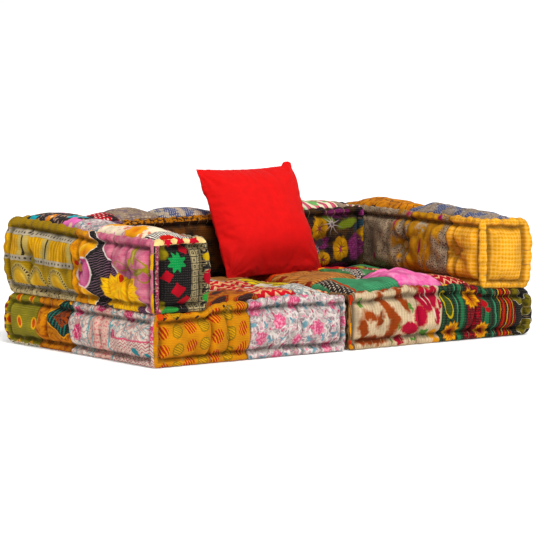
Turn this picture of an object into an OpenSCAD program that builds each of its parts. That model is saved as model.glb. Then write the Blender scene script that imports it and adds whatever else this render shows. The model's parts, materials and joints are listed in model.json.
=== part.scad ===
// Modular pouf set: two square floor cushions carry two arm bolsters, two back
// bolsters and a scatter pillow. All seven are loose, stuffed textile pieces.
// Origin: centre of the footprint on the floor. X to the right, front towards -Y.

/* [Set] */
// Width across both seat cushions at their rolled edges
set_w = 1600; // [1400:20:1800]
// Depth from the front edge to the back edge
set_d = 880; // [760:20:1000]
// Gap between neighbouring cushions at their corners
cushion_gap = 0.3; // [0.2:0.1:0.6]

/* [Seat cushions] */
// Height of a seat cushion where a bolster presses it
seat_h = 176; // [150:2:210]
// How much higher the seat stands where nothing presses it
seat_spring = 14; // [6:1:16]
// How much higher the middle of a seat's front edge stands than its ends
seat_edge_rise = 12; // [0:1:16]
// Crown of the free part of a seat
seat_crown = 16; // [8:1:22]
// Distance from a seat's outer tufts to the arm bolster
seat_tuft_from_arm = 30; // [24:2:50]
// Distance from a seat's rear tufts to the back bolster
seat_tuft_from_back = 40; // [30:2:60]
// Depth of a tuft in the seat's top
seat_tuft_depth = 10; // [6:1:14]

/* [Bolsters] */
// Thickness of the arm and back bolsters
bolster_t = 210; // [180:5:240]
// Height of a bolster at its rolled edges
bolster_h = 245; // [200:5:280]
// Crown on top of a bolster
bolster_crown = 26; // [14:2:36]
// Distance from an arm bolster's outer tufts to its ends
arm_tuft_from_end = 147; // [120:1:180]
// Distance between tufts along a back bolster
back_tuft_pitch = 195; // [160:5:230]
// How far a tuft pulls a bolster's sides in
bolster_tuft_depth = 14; // [8:1:18]

/* [Sewn edges] */
// Radius of the rolled edges
roll_r = 13; // [9:1:15]
// How far the sides are drawn in between the corners
draw_in = 5; // [2:1:8]
// How far the free sides stand out between the rolled edges
side_bulge = 10; // [0:1:14]

/* [Cover and filling] */
// Thickness of the quilted cover with its lining
cover_t = 3; // [2:0.5:4]
// Slack between the cover and the filling
fill_gap = 0.4; // [0.2:0.1:0.8]

/* [Tufts] */
// Radius of a tuft button
button_r = 14; // [10:1:16]
// Thickness of a tuft button
button_t = 4; // [3:0.5:5]
// Radius of the tufting twine
twine_r = 1.2; // [0.8:0.1:1.8]
// Depth of the dimple round a button under a seat
foot_dimple_h = 9; // [7:1:12]

/* [Scatter pillow] */
// Length of the pillow's sides between its corners
pillow_w = 410; // [340:10:460]
// Thickness of the pillow at its middle
pillow_t = 116; // [90:2:140]
// How far the pillow's sides are drawn in between its corners
pillow_draw = 14; // [8:1:20]
// Lean of the pillow against the back
pillow_lean = 26; // [16:1:32]
// Middle of the pillow, right of the middle of the set
pillow_x = 68; // [40:4:160]
// Thickness of the pillow's cover
pillow_cover_t = 1.2; // [0.8:0.1:1.6]
// Width of the seam round the pillow
pillow_seam = 9; // [7:1:12]
// Length of the zip in the pillow's lower seam
zip_len = 280; // [220:10:300]
// Width of the zip's tape
zip_tape_w = 7; // [6:1:9]
// Thickness of the zip's tape
zip_tape_t = 1.6; // [1.2:0.2:2]
// Length of the zip's slider
slider_len = 9; // [7:1:12]
// Width of the zip's slider
slider_w = 6; // [5:0.5:8]
// Height of the zip's slider
slider_h = 2.8; // [2.4:0.2:3.4]
// Length of the slider's pull tab
tab_len = 10; // [8:1:14]

/* [Hidden] */
$fn = 32;
// Small overlap for clean cuts
eps = 0.01;
half_gap = cushion_gap / 2;
half_w = set_w / 2;
half_d = set_d / 2;

// A rolled edge, as shares of its radius: distance in from the edge, and drop below the roll's top.
// The last pair but one is the stitched valley behind the roll.
ROLL_EDGE = [0, 0.3, 1, 1.9, 3.2];
ROLL_DROP = [[0, 1], [0.3, 0.3], [1, 0], [1.9, 0.45], [3.2, 0]];
corner_r = 3.2 * roll_r;
// The corners of the plan are squarer than arcs by this power
CORNER_POWER = 4;
valley_in = 0.5 * roll_r;
valley_down = 2.1 * roll_r;
panel_in = 0.1 * roll_r;
corner_valley = 0.35 * roll_r;
// Run over which the seat comes up from under a bolster, and where that run starts
spring_run = 40;
press_in = 0.7 * roll_r;
// Run over which a tuft pulls a bolster's side in, and its share at the rows above and below
pull_run = 80;
pull_share = 0.4;
BOLSTER_ROWS = [0.7, 0.5, 0.3];
SEAT_ROWS = [0.65, 0.35];
// Run over which a side's bulge fades out towards a neighbouring cushion
bulge_run = 80;
// Depth of the dip where the two halves of a bolster's top are sewn together
seam_dip = 8;
// Room round the twine, and the land round a button in the seat's underside
twine_room = 0.4;
foot_land = 2;

arm_x = half_w - bolster_t;
back_y = half_d - bolster_t;
seat_mid_x = half_w / 2;
seat_tuft_pitch_x = arm_x - seat_tuft_from_arm - seat_mid_x;
seat_tuft_pitch_y = back_y - seat_tuft_from_back;
arm_tuft_pitch = half_d - arm_tuft_from_end;
back_mid_x = arm_x / 2;
bolster_z = seat_h + cushion_gap;
press_x = arm_x + press_in;
press_y = back_y + press_in;

function clamp(v, lo, hi) = min(hi, max(lo, v));
function nearest(v, list) = min([for (t = list) abs(v - t)]);
function dist_in(v, lo, hi) = min(v - lo, hi - v);
function bow(v, lo, hi) = 1 - pow((2 * v - lo - hi) / (hi - lo), 2);
// How far a free side stands out at a share f of the panel's height, v away from the nearest neighbour
function bulge(v, f) = side_bulge * bow(f, 0, 1) * clamp(v / bulge_run, 0, 1);

// Plan of a cushion. box is [x0, y0, x1, y1]. A point on its outline or inside it is rounded at the
// corners, moved inwards by inset where it lies on the outline, and drawn in between the corners.
function rounded(p, box, rc, inset) =
    let (cx = p.x < (box[0] + box[2]) / 2 ? box[0] + rc : box[2] - rc,
         cy = p.y < (box[1] + box[3]) / 2 ? box[1] + rc : box[3] - rc,
         out = [cx > (box[0] + box[2]) / 2 ? p.x - cx : cx - p.x,
                cy > (box[1] + box[3]) / 2 ? p.y - cy : cy - p.y],
         sx = cx > (box[0] + box[2]) / 2 ? 1 : -1,
         sy = cy > (box[1] + box[3]) / 2 ? 1 : -1,
         reach = max(out.x, out.y),
         len = pow(pow(abs(out.x), CORNER_POWER) + pow(abs(out.y), CORNER_POWER), 1 / CORNER_POWER))
    out.x > 0 && out.y > 0
    ? [cx + sx * out.x * (reach - inset) / len, cy + sy * out.y * (reach - inset) / len]
    : [p.x - (out.x >= rc - eps ? sx * inset : 0), p.y - (out.y >= rc - eps ? sy * inset : 0)];
function drawn(p, box, rc, draw) =
    let (mx = (box[0] + box[2]) / 2, my = (box[1] + box[3]) / 2,
         along_x = max(0, bow(p.x, box[0] + rc, box[2] - rc)),
         along_y = max(0, bow(p.y, box[1] + rc, box[3] - rc)))
    [mx + (p.x - mx) * (1 - 2 * draw * along_y / (box[2] - box[0])),
     my + (p.y - my) * (1 - 2 * draw * along_x / (box[3] - box[1]))];
function plan(p, box, rc, inset) = drawn(rounded(p, box, rc, inset), box, rc, draw_in);

// Lines of a form across one axis: those of the rolled edges, and the inner ones
function lines(lo, hi, edge, inner) =
    concat([for (e = edge) lo + e], inner, [for (k = [len(edge) - 1:-1:0]) hi - edge[k]]);

// Drop of the top at a point below the top of the rolled edges
function edge_drop(x, y, box) = roll_r * lookup(
    min(dist_in(x, box[0], box[2]), dist_in(y, box[1], box[3])) / roll_r, ROLL_DROP);

// Closed form of triangles: a grid on top, bands round the sides and a fan below.
// top is a grid of points, bands are rings of points from the top down, foot is the fan's middle.
function rim(nx, ny) = concat(
    [for (i = [0:nx - 2]) [i, 0]], [for (j = [0:ny - 2]) [nx - 1, j]],
    [for (i = [nx - 1:-1:1]) [i, ny - 1]], [for (j = [ny - 1:-1:1]) [0, j]]);
module form(top, bands, foot) {
    nx = len(top[0]);
    ny = len(top);
    around = rim(nx, ny);
    n = len(around);
    grid_n = nx * ny;
    points = concat([for (row = top) each row], [for (band = bands) each band], [foot]);
    rings = concat([[for (a = around) a.y * nx + a.x]],
        [for (b = [0:len(bands) - 1]) [for (k = [0:n - 1]) grid_n + b * n + k]]);
    last = rings[len(rings) - 1];
    function quad(a, b, c, d, flip) = flip ? [[a, b, c], [a, c, d]] : [[a, b, d], [b, c, d]];
    faces = concat(
        [for (j = [0:ny - 2], i = [0:nx - 2])
            let (a = j * nx + i, turn = (2 * i < nx - 1) != (2 * j < ny - 1))
            each quad(a, a + nx, a + nx + 1, a + 1, !turn)],
        [for (b = [0:len(rings) - 2], k = [0:n - 1])
            let (u = rings[b], l = rings[b + 1], m = (k + 1) % n)
            each quad(u[k], u[m], l[m], l[k], k % 2 == 0)],
        [for (k = [0:n - 1]) [last[k], last[(k + 1) % n], len(points) - 1]]);
    polyhedron(points = points, faces = faces, convexity = 6);
}

// Outside of a cushion in box, from z0 to z1. rise(x, y) is added to the top, pull(x, y, f) draws
// the sides in, rows are the heights of the side's rings as shares of the panel between the rolls.
module cushion(box, z0, z1, inner_x, inner_y, rows, rise, pull, foot) {
    edge = ROLL_EDGE * roll_r;
    xs = lines(box[0], box[2], edge, inner_x);
    ys = lines(box[1], box[3], edge, inner_y);
    function at(x, y, inset, z) = let (p = plan([x, y], box, corner_r, inset)) [p.x, p.y, z];
    function by_corner(x, y) = let (c = min(max(x - box[0], 0), max(box[2] - x, 0)),
                                    d = min(max(y - box[1], 0), max(box[3] - y, 0)),
                                    s = max(c, d))
        abs(s - ROLL_EDGE[3] * roll_r) < eps ? corner_valley : 0;
    top = [for (y = ys) [for (x = xs) at(x, y, 0, z1 + rise(x, y) - edge_drop(x, y, box))]];
    around = [for (a = rim(len(xs), len(ys))) [xs[a.x], ys[a.y]]];
    bands = concat(
        [[for (p = around) at(p.x, p.y, valley_in, z1 + rise(p.x, p.y) - valley_down)]],
        [for (f = rows) [for (p = around)
            let (low = z0 + valley_down, high = z1 + rise(p.x, p.y) - valley_down)
            at(p.x, p.y, panel_in + by_corner(p.x, p.y) + pull(p.x, p.y, f), low + f * (high - low))]],
        [[for (p = around) at(p.x, p.y, valley_in, z0 + valley_down)],
         [for (p = around) at(p.x, p.y, 0, z0 + roll_r)],
         [for (p = around) at(p.x, p.y, ROLL_EDGE[1] * roll_r, z0 + ROLL_DROP[1][1] * roll_r)],
         [for (p = around) at(p.x, p.y, roll_r, z0)]]);
    form(top, bands, [foot.x, foot.y, z0]);
}

// Inside of the same cushion's cover, or its filling: the outside taken in by t
module cushion_inside(box, z0, z1, inner_x, inner_y, rows, rise, pull, foot, t) {
    s = valley_in + t;
    edge = [0, ROLL_EDGE[3] * roll_r - s, corner_r - s];
    in_box = box + [s, s, -s, -s];
    xs = lines(in_box[0], in_box[2], edge, inner_x);
    ys = lines(in_box[1], in_box[3], edge, inner_y);
    function at(x, y, inset, z) =
        let (p = drawn(rounded([x, y], in_box, corner_r - s, inset), box, corner_r, draw_in)) [p.x, p.y, z];
    top = [for (y = ys) [for (x = xs) at(x, y, 0, z1 + rise(x, y) - edge_drop(x, y, box) - t)]];
    around = [for (a = rim(len(xs), len(ys))) [xs[a.x], ys[a.y]]];
    bands = concat(
        [for (f = rows) [for (p = around)
            let (low = z0 + valley_down, high = z1 + rise(p.x, p.y) - valley_down)
            at(p.x, p.y, panel_in + corner_valley + pull(p.x, p.y, f) - valley_in, low + f * (high - low))]],
        [[for (p = around) at(p.x, p.y, 0, z0 + t)]]);
    form(top, bands, [foot.x, foot.y, z0 + t]);
}

// Button of a tuft, with its flat underside at z = 0: a turned disc, bevelled and dished
module button() {
    bevel = button_t * 0.35;
    dish_r = button_r * 0.6;
    dish_h = button_t * 0.3;
    rotate_extrude($fn = 32) polygon([
        [0, 0], [button_r - bevel, 0], [button_r, bevel], [button_r, button_t - bevel],
        [button_r - bevel, button_t], [dish_r, button_t], [dish_r - dish_h, button_t - dish_h],
        [0, button_t - dish_h]]);
}

// Twine between the undersides of a tuft's two buttons, and the hole that it runs through
module twine(length) {
    translate([0, 0, cushion_gap]) cylinder(r = twine_r, h = length - 2 * cushion_gap, $fn = 24);
}
module twine_hole(length) {
    translate([0, 0, -length]) cylinder(r = twine_r + twine_room, h = 3 * length, $fn = 24);
}

// Seat cushion right of the middle; the left one is its mirror image
seat_box = [half_gap, -half_d, half_w, half_d];
seat_tufts_x = [for (k = [-1:1]) seat_mid_x + k * seat_tuft_pitch_x];
seat_tufts_y = [for (k = [-1:1]) k * seat_tuft_pitch_y];
seat_lines_x = [
    (seat_tufts_x[0] + corner_r) / 2, seat_tufts_x[0], seat_mid_x - seat_tuft_pitch_x / 2, seat_mid_x,
    seat_mid_x + seat_tuft_pitch_x / 2, seat_tufts_x[2], press_x, (press_x + half_w - corner_r) / 2];
seat_lines_y = [
    (seat_tufts_y[0] - half_d + corner_r) / 2, seat_tufts_y[0], -seat_tuft_pitch_y / 2, 0,
    seat_tuft_pitch_y / 2, seat_tufts_y[2], press_y, (press_y + half_d - corner_r) / 2];
seat_foot = [seat_mid_x - seat_tuft_pitch_x / 2, -seat_tuft_pitch_y / 2];
pad_in = ROLL_EDGE[3] * roll_r;
// Share of the seat's spring at a point: none under the bolsters, all of it in the open
function sprung(x, y) = clamp((press_x - x) / spring_run, 0, 1) * clamp((press_y - y) / spring_run, 0, 1);
// How far a point lies towards the tufts: 1 at a tuft, a half on the lines between them, 0 amid them
function quilted(x, y) = 1 - (min(1, 2 * nearest(x, seat_tufts_x) / seat_tuft_pitch_x)
    + min(1, 2 * nearest(y, seat_tufts_y) / seat_tuft_pitch_y)) / 2;
function on_pad(x, y) = dist_in(x, seat_box[0], seat_box[2]) > pad_in + eps
    && dist_in(y, seat_box[1], seat_box[3]) > pad_in + eps ? 1 : 0;
function crown(x, y, x0, y0, x1, y1) = bow(clamp(x, x0, x1), x0, x1) * bow(clamp(y, y0, y1), y0, y1);
seat_rise = function(x, y) sprung(x, y) * (seat_spring + seat_edge_rise * bow(clamp(x, 0, press_x), 0, press_x)
    + seat_crown * crown(x, y, pad_in, pad_in - half_d, press_x, press_y)
    - seat_tuft_depth * quilted(x, y) * on_pad(x, y));
seat_pull = function(x, y, f) -bulge(x - seat_box[0], f);
function seat_top(x, y) = seat_h + seat_rise(abs(x), y);
// Height of a button above its tuft, clear of the slopes round it
seat_button_lift = cushion_gap + button_r * (2 * seat_tuft_depth + (seat_crown + seat_edge_rise) / 2)
    / min(seat_tuft_pitch_x, seat_tuft_pitch_y);
foot_button_z = foot_dimple_h - cushion_gap;

module at_seat_tufts() {
    for (x = seat_tufts_x, y = seat_tufts_y)
        translate([x, y, 0]) children();
}
// Dimple that a button draws into the seat's flat underside, grown by t
module foot_dimple(t) {
    translate([0, 0, -eps]) cylinder(
        r1 = button_r + foot_dimple_h + t, r2 = button_r + foot_land + t, h = foot_dimple_h + t + eps, $fn = 48);
}
module seat_inside(t) {
    difference() {
        cushion_inside(seat_box, 0, seat_h, seat_lines_x, seat_lines_y, SEAT_ROWS, seat_rise, seat_pull,
            seat_foot, t);
        at_seat_tufts() foot_dimple(t);
    }
}
module seat_cover() {
    difference() {
        cushion(seat_box, 0, seat_h, seat_lines_x, seat_lines_y, SEAT_ROWS, seat_rise, seat_pull, seat_foot);
        at_seat_tufts() foot_dimple(0);
        seat_inside(cover_t);
        at_seat_tufts() twine_hole(seat_h);
    }
}
module seat_filling() {
    difference() {
        seat_inside(cover_t + fill_gap);
        at_seat_tufts() twine_hole(seat_h);
    }
}
module seat_buttons() {
    for (x = seat_tufts_x, y = seat_tufts_y) {
        translate([x, y, seat_top(x, y) + seat_button_lift]) button();
        translate([x, y, foot_button_z]) mirror([0, 0, 1]) button();
    }
}
module seat_twine() {
    for (x = seat_tufts_x, y = seat_tufts_y)
        translate([x, y, foot_button_z]) twine(seat_top(x, y) + seat_button_lift - foot_button_z);
}

// Bolsters. Both kinds stand on the seat's pressed edge and have tufts through their thickness.
bolster_top = bolster_z + bolster_h;
bolster_mid_z = bolster_z + bolster_h / 2;
bolster_row_h = (BOLSTER_ROWS[0] - BOLSTER_ROWS[1]) * (bolster_h - 2 * valley_down);
function dip(v, at) = seam_dip * max(0, 1 - abs(v - at) / pull_run);
function side_pull(v, tufts, f) =
    bolster_tuft_depth * max(0, 1 - nearest(v, tufts) / pull_run) * (f == BOLSTER_ROWS[1] ? 1 : pull_share);
bolster_button_in = button_r * (bolster_tuft_depth / pull_run
    + (1 - pull_share) * bolster_tuft_depth / bolster_row_h) + cushion_gap;

// Arm bolster on the right, as deep as the set
arm_box = [arm_x + half_gap, -half_d, half_w, half_d];
arm_tufts_y = [for (k = [-1:1]) k * arm_tuft_pitch];
arm_mid_x = (arm_box[0] + arm_box[2]) / 2;
arm_lines_x = [arm_mid_x];
arm_lines_y = [for (k = [-2:2]) k * arm_tuft_pitch / 2];
arm_rise = function(x, y) bolster_crown * bow(clamp(x, arm_box[0] + pad_in, arm_box[2] - pad_in),
        arm_box[0] + pad_in, arm_box[2] - pad_in)
    * (1 - pow(min(1, abs(y) / (half_d - pad_in)), 4)) * (1 - dip(y, 0) / bolster_crown);
arm_pull = function(x, y, f) side_pull(y, arm_tufts_y, f) - bulge(x - arm_box[0], f);
arm_foot = [arm_mid_x, 0];
function arm_side(x, y) = plan([x, y], arm_box, corner_r, panel_in + arm_pull(x, y, BOLSTER_ROWS[1])).x;

module arm_holes() {
    for (y = arm_tufts_y)
        translate([arm_mid_x, y, bolster_mid_z]) rotate([0, 90, 0]) twine_hole(bolster_t);
}
module arm_cover() {
    difference() {
        cushion(arm_box, bolster_z, bolster_top, arm_lines_x, arm_lines_y, BOLSTER_ROWS, arm_rise, arm_pull,
            arm_foot);
        cushion_inside(arm_box, bolster_z, bolster_top, arm_lines_x, arm_lines_y, BOLSTER_ROWS, arm_rise,
            arm_pull, arm_foot, cover_t);
        arm_holes();
    }
}
module arm_filling() {
    difference() {
        cushion_inside(arm_box, bolster_z, bolster_top, arm_lines_x, arm_lines_y, BOLSTER_ROWS, arm_rise,
            arm_pull, arm_foot, cover_t + fill_gap);
        arm_holes();
    }
}
module arm_buttons() {
    for (y = arm_tufts_y) {
        translate([arm_side(arm_box[0], y) - bolster_button_in, y, bolster_mid_z]) rotate([0, -90, 0]) button();
        translate([arm_side(arm_box[2], y) + bolster_button_in, y, bolster_mid_z]) rotate([0, 90, 0]) button();
    }
}
module arm_twine() {
    for (y = arm_tufts_y) {
        from = arm_side(arm_box[0], y) - bolster_button_in;
        to = arm_side(arm_box[2], y) + bolster_button_in;
        translate([from, y, bolster_mid_z]) rotate([0, 90, 0]) twine(to - from);
    }
}

// Back bolster right of the middle, between the middle and the arm
back_box = [half_gap, back_y, arm_x - half_gap, half_d];
back_tufts_x = [for (k = [-0.5, 0.5]) back_mid_x + k * back_tuft_pitch];
back_mid_y = (back_box[1] + back_box[3]) / 2;
back_lines_x = [(back_tufts_x[0] + corner_r) / 2, back_tufts_x[0], back_mid_x, back_tufts_x[1],
    (back_tufts_x[1] + back_box[2] - corner_r) / 2];
back_lines_y = [back_mid_y];
back_rise = function(x, y) bolster_crown * bow(clamp(y, back_box[1] + pad_in, back_box[3] - pad_in),
        back_box[1] + pad_in, back_box[3] - pad_in)
    * (1 - pow(min(1, abs(x - back_mid_x) / (back_mid_x - pad_in)), 4)) * (1 - dip(x, back_mid_x) / bolster_crown);
back_pull = function(x, y, f) side_pull(x, back_tufts_x, f)
    - bulge(min(dist_in(x, back_box[0], back_box[2]), y - back_box[1]), f);
back_foot = [back_mid_x, back_mid_y];
function back_side(x, y) = plan([x, y], back_box, corner_r, panel_in + back_pull(x, y, BOLSTER_ROWS[1])).y;

module back_holes() {
    for (x = back_tufts_x)
        translate([x, back_mid_y, bolster_mid_z]) rotate([90, 0, 0]) twine_hole(bolster_t);
}
module back_cover() {
    difference() {
        cushion(back_box, bolster_z, bolster_top, back_lines_x, back_lines_y, BOLSTER_ROWS, back_rise,
            back_pull, back_foot);
        cushion_inside(back_box, bolster_z, bolster_top, back_lines_x, back_lines_y, BOLSTER_ROWS, back_rise,
            back_pull, back_foot, cover_t);
        back_holes();
    }
}
module back_filling() {
    difference() {
        cushion_inside(back_box, bolster_z, bolster_top, back_lines_x, back_lines_y, BOLSTER_ROWS, back_rise,
            back_pull, back_foot, cover_t + fill_gap);
        back_holes();
    }
}
module back_buttons() {
    for (x = back_tufts_x) {
        translate([x, back_side(x, back_box[1]) - bolster_button_in, bolster_mid_z]) rotate([90, 0, 0]) button();
        translate([x, back_side(x, back_box[3]) + bolster_button_in, bolster_mid_z]) rotate([-90, 0, 0]) button();
    }
}
module back_twine() {
    for (x = back_tufts_x) {
        from = back_side(x, back_box[1]) - bolster_button_in;
        to = back_side(x, back_box[3]) + bolster_button_in;
        translate([x, from, bolster_mid_z]) rotate([-90, 0, 0]) twine(to - from);
    }
}

// Scatter pillow. It stands on its lower corners on the seats and leans on the back's front roll.
// Its own frame has x along its width, y through its thickness and z up its height.
PILLOW_CELLS = 12;
PILLOW_CELLS_INSIDE = 8;
PILLOW_SWELL = 0.55;
pillow_half = pillow_w / 2;
function pillow_side(u) = pillow_half - pillow_draw * (1 - u * u);
function pillow_at(u, v, half, draw, t, side) = [
    u * (half - draw * (1 - v * v)),
    side * t / 2 * pow(max(0, (1 - u * u) * (1 - v * v)), PILLOW_SWELL),
    v * (half - draw * (1 - u * u))];
module pillow_form(cells, half, draw, t) {
    share = [for (k = [0:cells]) sin(90 * (2 * k / cells - 1))];
    n = cells + 1;
    inner = cells - 1;
    points = concat(
        [for (j = [0:cells], i = [0:cells]) pillow_at(share[i], share[j], half, draw, t, -1)],
        [for (j = [1:inner], i = [1:inner]) pillow_at(share[i], share[j], half, draw, t, 1)]);
    function front(i, j) = j * n + i;
    function back(i, j) = i % cells == 0 || j % cells == 0 ? front(i, j) : n * n + (j - 1) * inner + i - 1;
    faces = [for (j = [0:inner], i = [0:inner])
        let (turn = (2 * i < cells) != (2 * j < cells),
             f = [front(i, j), front(i, j + 1), front(i + 1, j + 1), front(i + 1, j)],
             b = [back(i, j), back(i + 1, j), back(i + 1, j + 1), back(i, j + 1)])
        each turn ? [[f[0], f[1], f[3]], [f[1], f[2], f[3]], [b[0], b[1], b[3]], [b[1], b[2], b[3]]]
            : [[f[0], f[1], f[2]], [f[0], f[2], f[3]], [b[0], b[1], b[2]], [b[0], b[2], b[3]]]];
    polyhedron(points = points, faces = faces, convexity = 4);
}
// Where the pillow stands: on the seats' height under its lower corners, as far back as it leans.
// The seats' flat facets lie a little lower than their curved tops.
facet_sag = 0.06 * seat_edge_rise;
function pillow_foot(y) = cushion_gap - facet_sag
    + max([for (s = [-1, 1]) seat_top(pillow_x + s * pillow_half, y)]);
function pillow_back(z) = back_y + roll_r - ((bolster_top - roll_r - z) * sin(pillow_lean)
    + pillow_t / 2 + roll_r + cushion_gap) / cos(pillow_lean);
pillow_z = pillow_foot(pillow_back(seat_h + seat_spring + seat_crown));
pillow_y = pillow_back(pillow_z);
module at_pillow() {
    translate([pillow_x, pillow_y, pillow_z]) rotate([-pillow_lean, 0, 0]) translate([0, 0, pillow_half])
        children();
}

// Zip in the lower seam, which bows upwards between the corners. A run of the seam is drawn from
// x = from to x = to, between the distances low and high above the seam's edge.
ZIP_STEPS = 10;
zip_end = zip_len / 2;
zip_proud = 1.2;
zip_slack = 0.4;
zip_mouth = 2;
// The seam's curve as an arc, and the angles to the slider's stops at its two ends
seam_arc_r = pillow_half * pillow_half / (2 * pillow_draw);
slider_stop = asin((zip_end - slider_len) / seam_arc_r);
tab_t = 0.8;
tab_r = 2.2;
tab_drop = 0.4;
function seam_z(x) = -pillow_side(x / pillow_half);
module seam_strip(from, to, low, high, t) {
    xs = [for (k = [0:ZIP_STEPS]) from + k * (to - from) / ZIP_STEPS];
    outline = concat([for (x = xs) [x, seam_z(x) + low]],
        [for (k = [ZIP_STEPS:-1:0]) [xs[k], seam_z(xs[k]) + high]]);
    rotate([90, 0, 0]) linear_extrude(height = t, center = true) polygon(outline);
}
module pillow_cover() {
    color("red") at_pillow() difference() {
        pillow_form(PILLOW_CELLS, pillow_half, pillow_draw, pillow_t);
        pillow_form(PILLOW_CELLS_INSIDE, pillow_half - pillow_seam, pillow_draw,
            pillow_t - 2 * pillow_cover_t);
        seam_strip(-zip_end - zip_slack, zip_end + zip_slack, -zip_proud, pillow_seam + zip_mouth,
            zip_tape_t + 2 * zip_slack);
    }
}
module pillow_insert() {
    color("white") at_pillow() pillow_form(PILLOW_CELLS_INSIDE, pillow_half - pillow_seam - fill_gap, pillow_draw,
        pillow_t - 2 * pillow_cover_t - 2 * fill_gap);
}
// Slider that straddles the tape's edge at the left end of its run, with its pull tab
module zip_slider() {
    channel = [slider_len + 2 * eps, zip_tape_t + 2 * zip_slack, zip_proud + eps];
    translate([0, 0, -zip_slack - slider_h / 2]) difference() {
        cube([slider_len, slider_w, slider_h], center = true);
        translate([0, 0, (slider_h - channel.z) / 2 + eps]) cube(channel, center = true);
    }
    translate([0, 0, -zip_slack - slider_h - tab_drop - tab_t]) {
        cylinder(r = tab_t, h = tab_drop + tab_t);
        linear_extrude(height = tab_t) difference() {
            union() {
                circle(tab_r);
                translate([0, -tab_r]) square([tab_len, 2 * tab_r]);
                translate([tab_len, 0]) circle(tab_r);
            }
            translate([tab_len, 0]) circle(tab_r / 2);
        }
    }
}
module pillow_zip_slider() {
    color("silver") at_pillow() translate([0, 0, seam_z(0) - seam_arc_r]) rotate([0, -slider_stop, 0])
        translate([0, 0, seam_arc_r]) zip_slider();
}
module pillow_zip() {
    color("darkred") at_pillow() seam_strip(-zip_end, zip_end, -zip_proud, zip_tape_w, zip_tape_t);
}

// The named pieces. Those on the left mirror those on the right.
module seat_left_cover() {
    color("goldenrod") mirror([1, 0, 0]) seat_cover();
}
module seat_left_filling() {
    color("linen") mirror([1, 0, 0]) seat_filling();
}
module seat_left_buttons() {
    color("lightgray") mirror([1, 0, 0]) seat_buttons();
}
module seat_left_twine() {
    color("tan") mirror([1, 0, 0]) seat_twine();
}
module seat_right_cover() {
    color("sienna") seat_cover();
}
module seat_right_filling() {
    color("linen") seat_filling();
}
module seat_right_buttons() {
    color("lightgray") seat_buttons();
}
module seat_right_twine() {
    color("tan") seat_twine();
}
module arm_left_cover() {
    color("olive") mirror([1, 0, 0]) arm_cover();
}
module arm_left_filling() {
    color("linen") mirror([1, 0, 0]) arm_filling();
}
module arm_left_buttons() {
    color("lightgray") mirror([1, 0, 0]) arm_buttons();
}
module arm_left_twine() {
    color("tan") mirror([1, 0, 0]) arm_twine();
}
module arm_right_cover() {
    color("orange") arm_cover();
}
module arm_right_filling() {
    color("linen") arm_filling();
}
module arm_right_buttons() {
    color("lightgray") arm_buttons();
}
module arm_right_twine() {
    color("tan") arm_twine();
}
module back_left_cover() {
    color("firebrick") mirror([1, 0, 0]) back_cover();
}
module back_left_filling() {
    color("linen") mirror([1, 0, 0]) back_filling();
}
module back_left_buttons() {
    color("lightgray") mirror([1, 0, 0]) back_buttons();
}
module back_left_twine() {
    color("tan") mirror([1, 0, 0]) back_twine();
}
module back_right_cover() {
    color("purple") back_cover();
}
module back_right_filling() {
    color("linen") back_filling();
}
module back_right_buttons() {
    color("lightgray") back_buttons();
}
module back_right_twine() {
    color("tan") back_twine();
}

seat_left_cover();
seat_left_filling();
seat_left_buttons();
seat_left_twine();
seat_right_cover();
seat_right_filling();
seat_right_buttons();
seat_right_twine();
arm_left_cover();
arm_left_filling();
arm_left_buttons();
arm_left_twine();
arm_right_cover();
arm_right_filling();
arm_right_buttons();
arm_right_twine();
back_left_cover();
back_left_filling();
back_left_buttons();
back_left_twine();
back_right_cover();
back_right_filling();
back_right_buttons();
back_right_twine();
pillow_cover();
pillow_insert();
pillow_zip();
pillow_zip_slider();
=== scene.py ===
# %% [markdown]
# # A modular pouf in patchwork cotton
# The object is a low floor sofa made of loose, stuffed cushions: two square seats, two arm bolsters,
# two back bolsters and a scatter pillow. Every cover is sewn from squares of old printed cotton, tufted
# through with buttons, and its edges are stitched into rolls by hand, as on a mattress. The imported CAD
# model fixes where each piece is. This script gives each piece its stuffed form and its cloth.

# %% Load the fixed frame
import json
import math
import bpy
import numpy as np
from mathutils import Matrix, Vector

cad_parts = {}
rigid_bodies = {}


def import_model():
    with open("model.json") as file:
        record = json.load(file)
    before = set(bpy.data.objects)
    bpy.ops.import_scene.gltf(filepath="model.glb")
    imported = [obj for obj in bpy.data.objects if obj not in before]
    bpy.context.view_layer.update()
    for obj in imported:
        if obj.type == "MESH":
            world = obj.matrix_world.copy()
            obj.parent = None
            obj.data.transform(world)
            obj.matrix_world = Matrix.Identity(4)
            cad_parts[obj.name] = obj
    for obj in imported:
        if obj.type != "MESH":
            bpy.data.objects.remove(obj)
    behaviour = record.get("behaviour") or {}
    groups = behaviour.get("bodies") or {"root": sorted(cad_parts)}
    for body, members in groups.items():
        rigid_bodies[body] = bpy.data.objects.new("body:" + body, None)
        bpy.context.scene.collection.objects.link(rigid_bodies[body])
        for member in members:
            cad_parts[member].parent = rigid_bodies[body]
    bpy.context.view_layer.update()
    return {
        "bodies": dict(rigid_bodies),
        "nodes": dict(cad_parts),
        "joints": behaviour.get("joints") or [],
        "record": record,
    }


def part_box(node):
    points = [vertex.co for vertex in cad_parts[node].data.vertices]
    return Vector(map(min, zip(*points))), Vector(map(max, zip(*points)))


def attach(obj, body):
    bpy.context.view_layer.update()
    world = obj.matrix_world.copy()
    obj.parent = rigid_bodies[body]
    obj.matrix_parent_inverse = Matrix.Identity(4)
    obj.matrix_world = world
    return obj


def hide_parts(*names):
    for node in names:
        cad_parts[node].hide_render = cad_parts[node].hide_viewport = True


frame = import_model()

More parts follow.
